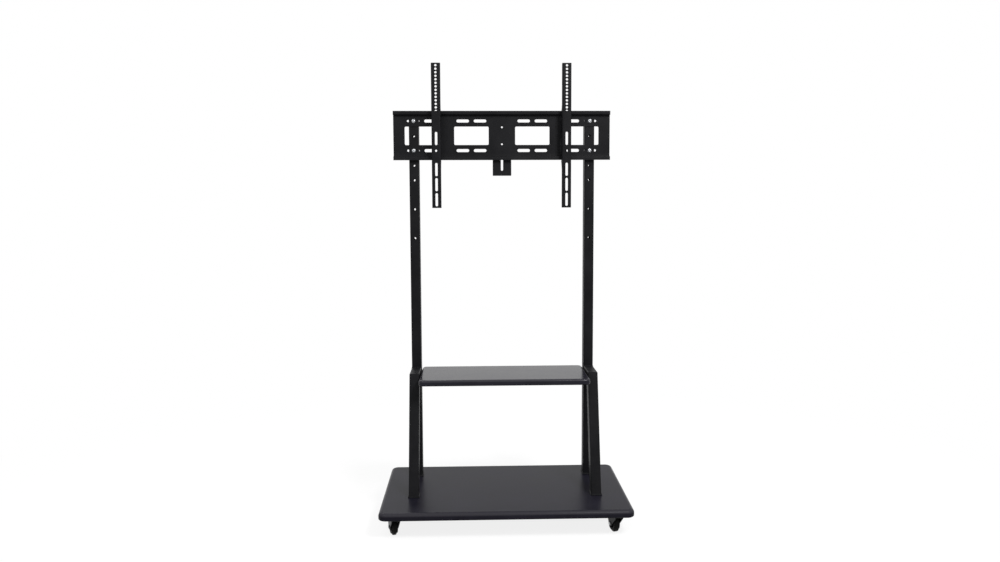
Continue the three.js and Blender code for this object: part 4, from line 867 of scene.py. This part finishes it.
# %% [markdown]
# Each fastener is drawn with its head up, turned the way its head faces, and set down on its
# seat. The plate's bolts reach through the uprights into the flange nuts behind them. The
# bolts of the feet come from under the board, and a small screw locks each arm.

# %% Fastening
FACING = {"down": turn_matrix(180, "X"), "front": turn_matrix(90, "X"), "rear": turn_matrix(-90, "X"),
          "left": turn_matrix(-90, "Y"), "right": turn_matrix(90, "Y")}
PLATE_WEB_FRONT, BOLT_END, FOOT_BOLT_GRIP, FOOT_GAUGE = UPRIGHT_FRONT - SHEET_GAUGE, 3.0, 9.0, 3.0
LEG_FOOT_Y = LEG_FOOT_FRONT + FOOT_GAUGE * np.tan(LEG_LEAN) + LEG_LEVEL_DEPTH / 2
FOOT_Y = {"upright": UPRIGHT_Y, "leg": LEG_FOOT_Y}
BOLT_Z = {"upper": MOUNT_Z + HOLE_PITCH, "lower": MOUNT_Z - HOLE_PITCH}
CROWN_SHARP = 28


def fasten(name, part, facing, seat, nodes, body="stand"):
    """A zinc plated fastener whose head faces one way, on its seat."""
    finished_piece(name, moved(part, FACING[facing], seat), nodes, "zinc_steel", body, sharp=CROWN_SHARP)


plate_bolt = socket_bolt(**M6_BOLT, length=SHEET_GAUGE + TUBE_DEPTH + M6_NUT["height"] + BOLT_END)
foot_bolt = socket_bolt(**M6_BOLT, length=BASE_TOP - BASE_BOTTOM + FOOT_BOLT_GRIP)
for side, sign in SIDES.items():
    x = sign * UPRIGHT_X
    for row, z in BOLT_Z.items():
        fasten(f"{side}_{row}_mount_bolt", plate_bolt, "front", (x, PLATE_WEB_FRONT, z),
               [f"{side}_{row}_plate_bolt"])
        fasten(f"{side}_{row}_mount_nut", flange_nut(**M6_NUT), "rear", (x, UPRIGHT_REAR, z),
               [f"{side}_{row}_plate_nut"])
    for foot, y in FOOT_Y.items():
        fasten(f"{side}_{foot}_board_bolt", foot_bolt, "down", (x, y, BASE_BOTTOM),
               [f"{side}_{foot}_foot_bolt"])
    fasten(f"{side}_arm_lock_screw", socket_bolt(**SAFETY_SCREW), "down",
           (ARM_X[side], SAFETY_SCREW_Y, LEDGE_BOTTOM), [f"{side}_safety_screw"], f"{side}_arm")
print("foot bolts stand at", {foot: round(y, 1) for foot, y in FOOT_Y.items()}, "mm")

# %% [markdown]
# The uprights and legs are welded to their foot plates, and the shelf arms to the uprights.
# A weld bead is a thin tube laid along the joint. Its radius swells a little at a steady
# spacing, because melted metal sets in overlapping scales.

# %% Weld beads
WELD_SWELL, WELD_SCALE, STATIONS_PER_SCALE, BEAD_SIDES = 0.16, 1.7, 4, 8


def weld_bead(path, normal, radius):
    """Section r (1 - swell + swell |sin|) about a closed path in one plane; a scale is half a wave."""
    loop = np.vstack([path, path[:1]])
    length = lengths_along(loop)
    count = int(length[-1] / WELD_SCALE) * STATIONS_PER_SCALE
    at = np.arange(count) * length[-1] / count
    places = np.stack([np.interp(at, length, loop[:, i]) for i in range(3)], axis=1)
    along = np.roll(places, -1, axis=0) - np.roll(places, 1, axis=0)
    along /= np.linalg.norm(along, axis=1)[:, None]
    outward = np.cross(along, normal)[:, None]
    wave = np.abs(np.sin(np.pi * np.arange(count) / STATIONS_PER_SCALE))
    reach = radius * (1 - WELD_SWELL + WELD_SWELL * wave)[:, None, None]
    angle = ring_angles(BEAD_SIDES)[None, :, None]
    ring = places[:, None] + reach * (np.cos(angle) * outward + np.sin(angle) * np.array(normal))
    return ring.reshape(-1, 3), [grid_faces(count, BEAD_SIDES, wrap_rows=True, wrap_columns=True)]


def level_path(x, y, z, depth):
    """The outline of a tube cut level, as deep as the cut makes it."""
    return np.insert(rounded_outline(TUBE_WIDTH, depth, TUBE_CORNER) + [x, y], 2, z, axis=1)


round_a_tube = weld_bead(level_path(0, 0, 0, TUBE_DEPTH), (0, 0, 1), 1.0)[0]
print("scales in a bead round a tube:", len(round_a_tube) // (BEAD_SIDES * STATIONS_PER_SCALE))

# %% [markdown]
# The tubes end in moulded caps at the top and in foot plates at the bottom. Both are stacks
# of rounded rectangles again. A cap's plug reaches down into the tube, a lid covers the
# tube's end, and small insets round the edges off.

# %% Caps and feet
CAP_TOP, CAP_PLUG, PLUG_INSET = cad_box("right_upright_cap")[1][2], 12.0, 1.8
FOOT_BEAD, ARM_BEAD, BEAD_SUNK, FOOT_RIM = 1.4, 1.3, 0.2, 2.0
cap = stacked_outline(TUBE_WIDTH, TUBE_DEPTH, TUBE_CORNER, [
    (PLUG_INSET, UPRIGHT_TOP - CAP_PLUG), (PLUG_INSET, UPRIGHT_TOP + 0.05), (0.2, UPRIGHT_TOP + 0.05),
    (0, UPRIGHT_TOP + 0.3), (0, CAP_TOP - 1.2), (0.3, CAP_TOP - 0.5), (0.8, CAP_TOP - 0.1), (1.5, CAP_TOP)])
foot_rings = [(0.3, BASE_TOP), (0, BASE_TOP + 0.3), (0, UPRIGHT_BOTTOM - 0.6), (0.6, UPRIGHT_BOTTOM)]
tube_end = rounded_outline(TUBE_WIDTH, TUBE_DEPTH, TUBE_CORNER) + [0, SHELF_ARM_TOP - TUBE_DEPTH / 2]
for side, sign in SIDES.items():
    x = sign * UPRIGHT_X
    finished_piece(f"{side}_moulded_cap", moved(cap, shift=(x, UPRIGHT_Y, 0)), [f"{side}_upright_cap"],
                   "plastic")
    for foot, depth in (("upright", TUBE_DEPTH), ("leg", LEG_LEVEL_DEPTH)):
        y = FOOT_Y[foot]
        foot_plate = stacked_outline(TUBE_WIDTH + 2 * FOOT_RIM, depth + 2 * FOOT_RIM, TUBE_CORNER, foot_rings)
        finished_piece(f"{side}_{foot}_foot_plate", moved(foot_plate, shift=(x, y, 0)),
                       [f"{side}_{foot}_foot"])
        bead = weld_bead(level_path(x, y, UPRIGHT_BOTTOM + BEAD_SUNK, depth), (0, 0, 1), FOOT_BEAD)
        finished_piece(f"{side}_{foot}_foot_weld", bead, ())
    joint = np.insert(tube_end + [x, 0], 1, UPRIGHT_FRONT - BEAD_SUNK, axis=1)
    finished_piece(f"{side}_shelf_arm_weld", weld_bead(joint, (0, -1, 0), ARM_BEAD), ())
print("caps end at", CAP_TOP, "mm")

# %% [markdown]
# Under each end of the shelf runs an angle. It is a pierced strip bent once, and it is
# screwed sideways into the tubes and upwards into the shelf.

# %% Shelf angles
angle_low, angle_high = cad_box("right_shelf_angle")
ANGLE_LEG, ANGLE_INSET, ANGLE_HOLE, ANGLE_MARGIN = angle_high[0] - angle_low[0], 14.0, (4.4, 4.4), 1.6
TUBE_INNER_X, SHELF_BOTTOM = angle_high[[0, 2]]
ANGLE_ENDS = (angle_low[1], angle_high[1])
ANGLE_SCREW_Y = (ANGLE_ENDS[0] + ANGLE_INSET, ANGLE_ENDS[1] - ANGLE_INSET)
LONG_PAN_SCREW = {"head": 3.8, "height": 2.0, "shank": 1.8, "length": 6.0}


def shelf_angle(sign):
    """Across is the way round the bend, from the wall leg's lower edge to the ledge's inner edge."""
    wall, ledge = sign * (TUBE_INNER_X - SHEET_GAUGE / 2), SHELF_BOTTOM - SHEET_GAUGE / 2
    section = bent_section([(wall, SHELF_BOTTOM - ANGLE_LEG), (wall, ledge),
                            (sign * (TUBE_INNER_X - ANGLE_LEG), ledge)], BEND_RADIUS)
    holes = [hole_block((across, y), *ANGLE_HOLE, ANGLE_MARGIN)
             for across in (ANGLE_LEG / 2, section[0][-1] - ANGLE_LEG / 2) for y in ANGLE_SCREW_Y]
    return bent_sheet(section, ANGLE_ENDS, holes, axes=(0, 2, 1))


for side, sign in SIDES.items():
    finished_piece(f"{side}_bent_angle", shelf_angle(sign), [f"{side}_shelf_angle"], gauge=SHEET_GAUGE)
    into_tube = (FACING["left" if side == "right" else "right"], sign * (TUBE_INNER_X - SHEET_GAUGE),
                 SHELF_BOTTOM - ANGLE_LEG / 2)
    into_shelf = (FACING["down"], sign * (TUBE_INNER_X - ANGLE_LEG / 2), SHELF_BOTTOM - SHEET_GAUGE)
    screws = [moved(pan_screw(**LONG_PAN_SCREW), facing, (x, y, z))
              for facing, x, z in (into_tube, into_shelf) for y in ANGLE_SCREW_Y]
    finished_piece(f"{side}_angle_screws", joined(*screws), (), "zinc_steel")
print("angles:", ANGLE_LEG, "mm wide, with", len(screws), "screws each")

# %% [markdown]
# A caster is drawn once, about its kingpin, with its wheel trailing along +Y. It is then
# turned by its heading and set under its corner of the board. The CAD wheel is a prism of 24
# sides that stands on a flat one, so its axle is a little lower than the tyre's radius.

# %% Where the casters stand
TYRE_RADIUS, TYRE_SIDES, TRAIL = 25.0, 24, 20.0
AXLE_Z = TYRE_RADIUS * np.cos(np.pi / TYRE_SIDES)
AT_AXLE = (0, TRAIL, AXLE_Z)
HEADINGS = {"front_left": 17.0, "front_right": 16.0, "rear_left": 180.0, "rear_right": 186.0}
KINGPINS = {corner: (*sum(cad_box(f"{corner}_caster_plate"))[:2] / 2, 0) for corner in HEADINGS}

print("axles at", round(AXLE_Z, 2), "mm, kingpins", 2 * KINGPINS["rear_right"][0], "mm apart")

# %% [markdown]
# The fork is one pressed sheet: a strip bent into a U makes the crown, and each cheek is a
# flat face below the strip, cut to the outline of a belt that runs round the ear, the front
# corner and the axle boss.

# %% Caster fork
PLATE_UNDERSIDE, CROWN_TOP, CROWN_GAUGE, CROWN_BEND = 59.5, 54.5, 2.5, 2.4
CROWN_Y, NOTCH_Z = (-10.0, 26.0), 50.0
CHEEK_OUTER, PIVOT = 13.0, (0.0, 38.0, 49.5)
CHEEK_MIDDLE = CHEEK_OUTER - CROWN_GAUGE / 2
EAR, FRONT_CORNER, BOSS = (*PIVOT[1:], 5.0), (-10.0, 50.5, 4.0), (TRAIL, AXLE_Z, 8.0)


def belt_outline(circles, steps=10):
    """Round circles (x, y, r) listed anticlockwise; the belt leaves each at angle d - acos((r - r') / d)."""
    circles = np.array(circles, float)
    apart = np.roll(circles, -1, axis=0) - circles
    distance = np.hypot(apart[:, 0], apart[:, 1])
    leaving = np.arctan2(apart[:, 1], apart[:, 0]) - np.arccos(-apart[:, 2] / distance)
    arriving = np.roll(leaving, 1)
    sweep = (leaving - arriving) % (2 * np.pi)
    angle = arriving[:, None] + sweep[:, None] * np.linspace(0, 1, steps + 1)
    spoke = np.stack([np.cos(angle), np.sin(angle)], axis=2)
    return circles[:, None, :2] + circles[:, None, 2:] * spoke


def pressed_fork():
    """The U strip and the two cheeks, all mid-way in the metal; they share the notch's two corners."""
    crown_z = CROWN_TOP - CROWN_GAUGE / 2
    section = bent_section([(-CHEEK_MIDDLE, NOTCH_Z), (-CHEEK_MIDDLE, crown_z), (CHEEK_MIDDLE, crown_z),
                            (CHEEK_MIDDLE, NOTCH_Z)], CROWN_BEND, steps=6)
    strip = bent_sheet(section, CROWN_Y, [], axes=(0, 2, 1))
    ear, front, boss = belt_outline([EAR, FRONT_CORNER, BOSS])
    notch = np.array([(CROWN_Y[1], CROWN_TOP), (CROWN_Y[1], NOTCH_Z), (CROWN_Y[0], NOTCH_Z)])
    return joined(strip, *side_faces(np.concatenate([ear, notch, front, boss]), CHEEK_MIDDLE))


def race_and_pin():
    """The race pressed into the crown, about Z, and the pedal's pin with its riveted ends, about X."""
    race = turned_rings([(4.3, 51.9), (14.6, 51.9), (15.3, 52.2), (15.5, 52.8), (15.5, 53.6), (15.1, 54.3),
                         (14.3, 54.55), (4.3, 54.55)], closed=True)
    end = CHEEK_OUTER + 1
    pin = turned_rings([(0, -end), (1.5, -end), (2.2, -end + 0.3), (2.4, -CHEEK_OUTER), (1.5, -CHEEK_OUTER),
                        (1.5, CHEEK_OUTER), (2.4, CHEEK_OUTER), (2.2, end - 0.3), (1.5, end), (0, end)],
                       steps=24)
    return joined(race, moved(pin, FACING["right"], PIVOT))


print("a fork is", 2 * CHEEK_OUTER, "mm wide, and its outline has", pressed_fork()[1][-1].size, "corners")

# %% [markdown]
# The rest of the caster turns about an axis: the top plate's race and the riveted kingpin
# about Z, the axle, hub and tyre about X.

# %% Caster plate and axle
TOP_PLATE_SIZE, TOP_PLATE_CORNER, NUT_APOTHEM = 48.0, 5.0, 4.3


def top_plate():
    """A pressed plate with the race's collar under it and the kingpin's domed rivet below."""
    plate = stacked_outline(TOP_PLATE_SIZE, TOP_PLATE_SIZE, TOP_PLATE_CORNER, [
        (0.5, PLATE_UNDERSIDE), (0, PLATE_UNDERSIDE + 0.5), (0, BASE_BOTTOM - 0.3), (0.3, BASE_BOTTOM)])
    race = turned_rings([
        (0, 60.5), (17.4, 60.5), (17.5, 59.2), (17.3, 58.5), (16.6, 57.9), (15.8, 57.4), (15.3, 56.6),
        (15.0, 55.4), (14.6, 54.9), (13.8, 54.8), (4.0, 54.8), (4.0, 51.6), (6.0, 51.6), (6.5, 51.2),
        (6.2, 50.5), (5.0, 49.95), (3.0, 49.75), (0, 49.7)])
    return joined(plate, race)


def axle_bolt():
    """From left to right: a thread's tip, a hexagon nut, the shank, and a domed head."""
    hexagon, turned_down = polygon_radius(6, NUT_APOTHEM), hex_or_circle(NUT_APOTHEM, 4.7)
    return turned_rings([
        (0, -15.8), (2.4, -15.8), (2.9, -15.5), (2.9, -15.3), (hex_or_circle(NUT_APOTHEM, 4.1), -15.3),
        (turned_down, -15.0), (hexagon, -14.7), (hexagon, -13.6), (turned_down, -13.3),
        (3, -13.3), (3, 13.3), (4.8, 13.3), (5, 13.5), *arc_rows((5, 13.9), (2.2, 15.8)), (0, 15.8)])


print("an axle has", len(axle_bolt()[0]), "points")

# %% [markdown]
# The hub has a boss, a thin web and a rim, and five ribs on each side of the web, those of
# one side between those of the other. The tyre's section is a flat tread with round
# shoulders.

# %% Hub and tyre
RIBS_A_SIDE, RIB_MIDDLE, HUB_STEPS, TYRE_STEPS = 5, 10.0, 64, 96


def mirrored_rows(rows):
    """A section drawn for one half, then run back over the other half."""
    return [*rows, *((radius, -place) for radius, place in reversed(rows))]


def wheel_hub():
    """The section runs from the bore over boss, web and rim; ribs stand on the web."""
    half = [(3.3, 10.2), (6.5, 10.2), (7, 9.7), (7, 4.4), (7.3, 3.5), (8.2, 3), (12.0, 3), (12.9, 3.4),
            (13.2, 4.4), (13.2, 7.6), (13.6, 8), (16.2, 8), (16.7, 7.6)]
    rib_rings = [(-0.3, 2.0), (0, 6.2), (0.15, 6.6), (0.35, 6.8)]
    rib = moved(stacked_outline(7.6, 1.8, 0.4, rib_rings, 3), shift=(RIB_MIDDLE, 0, 0))
    apart = 360 / RIBS_A_SIDE
    ribs = [moved(moved(rib, turn_matrix(tilt, "X")), turn_matrix(apart * k + lead, "Z"))
            for tilt, lead in ((0, 0), (180, apart / 2)) for k in range(RIBS_A_SIDE)]
    return moved(joined(turned_rings(mirrored_rows(half), HUB_STEPS, closed=True), *ribs), FACING["right"])


def tyre():
    """Tread radius 24.7 with a fine parting line; round shoulders run down to the bore."""
    half = [(17, 8.2), (17.5, 8.8), (18.6, 9), *arc_rows((19.6, 9), (24.5, 4.6), 8), (24.62, 2.5),
            (24.7, 0.32), (24.78, 0.14)]
    return moved(turned_rings(mirrored_rows(half), TYRE_STEPS, closed=True), FACING["right"])


print("a tyre has", len(tyre()[0]), "points and a hub", len(wheel_hub()[0]))

# %% [markdown]
# The brake pedal is moulded: a barrel with a cam on its pin, a neck, and a tread with grip
# bars. It is drawn level about its pin and then tipped up to where it rests.

# %% Brake pedal
PEDAL_TIP, TREAD_LENGTH, TREAD_CLIMB, BAR_SPACING, BARREL_HALF = 12.0, 8.5, 3.0, 3.2, 9.0
NECK_MIDDLE, TREAD_MIDDLE = 6.55, 12.25


def brake_pedal():
    """Parts about the pin, then tipped up by the rest angle; the tread climbs as it reaches back."""
    rim = belt_outline([(0, 0, 3.4), (-0.825, -2.858, 2.2)]).reshape(-1, 2)
    barrel = capped_stack([np.insert(rim, 0, x, axis=1) for x in (-BARREL_HALF, BARREL_HALF)])
    slab = [(0.7, -1.5), (0.2, -1.3), (0, -0.8), (0, 0.8), (0.2, 1.3), (0.7, 1.5)]
    neck = moved(stacked_outline(18, 9.5, 1, slab, 4), shift=(0, NECK_MIDDLE, 0))
    bar = stacked_outline(21, 1.3, 0.6, [(0, 1.2), (0, 1.8), (0.3, 2.1)], 4)
    bars = [moved(bar, shift=(0, y, 0)) for y in (-BAR_SPACING, 0.0, BAR_SPACING)]
    climb = turn_matrix(np.degrees(np.arctan2(TREAD_CLIMB, TREAD_LENGTH)), "X")
    tread = joined(stacked_outline(28, 12, 3, slab), *bars)
    tread = moved(tread, climb, (0, TREAD_MIDDLE, TREAD_CLIMB / 2))
    return moved(joined(barrel, neck, tread), turn_matrix(PEDAL_TIP, "X"), PIVOT)


print("a pedal has", len(brake_pedal()[0]), "points")

# %% [markdown]
# The pieces of a caster are drawn once and set under each corner. What rides on the swivel is
# turned to the caster's heading. The top plate and its screws stay square to the board.

# %% Four casters
SCREW_OFFSET = 17.5
SHORT_PAN_SCREW = {"head": 3.8, "height": 1.9, "shank": 1.8, "length": 5.0}
plate_screws = [moved(pan_screw(**SHORT_PAN_SCREW), FACING["down"], (x, y, PLATE_UNDERSIDE))
                for x in (-SCREW_OFFSET, SCREW_OFFSET) for y in (-SCREW_OFFSET, SCREW_OFFSET)]
CASTER_PIECES = [
    ("top_plate", top_plate(), "plate", "caster_steel", "stand", {}),
    ("top_plate_screws", joined(*plate_screws), None, "zinc_steel", "stand", {}),
    ("pressed_fork", pressed_fork(), "fork", "caster_steel", "swivel", {"gauge": CROWN_GAUGE}),
    ("fork_race", race_and_pin(), None, "caster_steel", "swivel", {}),
    ("axle_bolt", moved(axle_bolt(), FACING["right"], AT_AXLE), "axle", "zinc_steel", "swivel",
     {"sharp": CROWN_SHARP}),
    ("ribbed_hub", moved(wheel_hub(), shift=AT_AXLE), "hub", "plastic", "wheel", {}),
    ("round_tyre", moved(tyre(), shift=AT_AXLE), "tyre", "rubber", "wheel", {}),
    ("brake_pedal", brake_pedal(), "brake", "plastic", "pedal", {}),
]

for corner, heading in HEADINGS.items():
    for name, part, node, slot, rides_on, options in CASTER_PIECES:
        square = rides_on == "stand"
        placed = moved(part, turn_matrix(0 if square else heading, "Z"), KINGPINS[corner])
        finished_piece(f"{corner}_{name}", placed, [f"{corner}_caster_{node}"] if node else (), slot,
                       "stand" if square else f"{corner}_{rides_on}", **options)
print("casters:", ", ".join(HEADINGS))

# %% [markdown]
# The floor and the backdrop are plain and pale. The photograph's ground is pure white, so
# the world is white to the camera and to reflections, through Light Path, while its diffuse
# light is moderate and comes mostly from above.

# %% Backdrop
def seen_directly(tree):
    """One for camera, glossy and transmission rays, and nought for the light that falls on the stand."""
    path = add_node(tree, "LightPath").outputs
    seen = path["Is Camera Ray"]
    for ray in ("Is Transmission Ray", "Is Glossy Ray"):
        seen = add_node(tree, "Math", {"operation": "MAXIMUM"}, _0=seen, _1=path[ray]).outputs[0]
    return seen


def backdrop_world():
    """White where it is seen; for diffuse light, brighter overhead than at the horizon."""
    world = bpy.data.worlds.new("studio")
    bpy.context.scene.world = world
    world.use_nodes = True
    tree = world.node_tree
    tree.nodes.clear()
    ray = add_node(tree, "TexCoord").outputs["Generated"]
    height = add_node(tree, "SeparateXYZ", Vector=ray).outputs["Z"]
    overhead = add_node(tree, "MapRange", Value=height, From_Min=-0.1, From_Max=0.8, To_Min=0.34,
                        To_Max=0.8)
    lit = add_node(tree, "Background", Color=(1, 1, 1, 1), Strength=overhead.outputs["Result"])
    white = add_node(tree, "Background", Color=(1, 1, 1, 1), Strength=1.0)
    both = add_node(tree, "MixShader", _0=seen_directly(tree), _1=lit.outputs[0],
                    _2=white.outputs[0])
    add_node(tree, "OutputWorld", Surface=both.outputs[0])
    return world


backdrop = backdrop_world()
print("nodes of the backdrop:", len(backdrop.node_tree.nodes))

# %% [markdown]
# Three square lamps light the stand. A key lamp at the front right draws the bright line
# along the board's rolled edge, a wide fill lamp opens the left side, and a weak lamp behind
# lights the back. Their places are in metres.

# %% Lamps
def soft_light(name, place, target, size, power):
    """A square lamp at a place, turned to its target."""
    data = bpy.data.lights.new(name, "AREA")
    data.shape, data.size, data.energy = "SQUARE", size, power
    lamp = bpy.data.objects.new(name, data)
    lamp.location = place
    lamp.rotation_euler = (Vector(target) - Vector(place)).to_track_quat("-Z", "Y").to_euler()
    bpy.context.scene.collection.objects.link(lamp)


soft_light("key", place=(1.15, -1.9, 2.5), target=(0, 0, 0.5), size=0.7, power=76)
soft_light("fill", place=(-1.3, -1.9, 2.4), target=(0, 0, 0.5), size=1.1, power=22)
soft_light("rear", place=(-0.9, 2.6, 2.8), target=(0, 0, 0.7), size=1.2, power=22)
print("lamps:", ", ".join(f"{lamp.name} {lamp.energy:.0f} W" for lamp in bpy.data.lights))

# %% [markdown]
# Near the stand the floor is partly a real surface, which keeps a soft shadow. Further off it
# fades into the white backdrop, so no horizon shows. Light that bounces off it is darker than
# the floor looks, so that the stand's underside stays as dark as in the photograph.

# %% Floor
FLOOR_HALF = 30.0  # metres


def pale_floor():
    """The seen share of plain white grows from 0.84 near the stand to 1 at 2 m; the rest is lit."""
    material, tree, output = new_material("pale_studio_floor")
    bounce = add_node(tree, "Mix", {"data_type": "RGBA"},
                      _0=add_node(tree, "LightPath").outputs["Is Diffuse Ray"],
                      _6=linear("#f4f4f4"), _7=linear("#8c8c8c"))
    surface = add_node(tree, "BsdfDiffuse", Color=bounce.outputs[2], Roughness=0.4)
    white = add_node(tree, "Emission", Color=(1, 1, 1, 1), Strength=1.0)
    place = add_node(tree, "TexCoord").outputs["Object"]
    distance = add_node(tree, "VectorMath", {"operation": "LENGTH"}, _0=place)
    fade = add_node(tree, "MapRange", {"interpolation_type": "SMOOTHSTEP"},
                    Value=distance.outputs["Value"], From_Min=0.5, From_Max=2.0, To_Min=0.84, To_Max=1.0)
    share = add_node(tree, "Math", {"operation": "MULTIPLY"}, _0=seen_directly(tree),
                     _1=fade.outputs["Result"])
    both = add_node(tree, "MixShader", _0=share.outputs[0], _1=surface.outputs[0],
                    _2=white.outputs[0])
    tree.links.new(both.outputs[0], output.inputs["Surface"])
    mesh = bpy.data.meshes.new("floor")
    corners = FLOOR_HALF * np.array([(-1, -1, 0), (1, -1, 0), (1, 1, 0), (-1, 1, 0)])
    mesh.from_pydata(corners.tolist(), [], [(0, 1, 2, 3)])
    mesh.materials.append(material)
    floor = bpy.data.objects.new("floor", mesh)
    bpy.context.scene.collection.objects.link(floor)
    return floor


floor = pale_floor()
print("floor:", floor.dimensions.x, "m wide")
bpy.context.scene.view_settings.view_transform = "Standard"
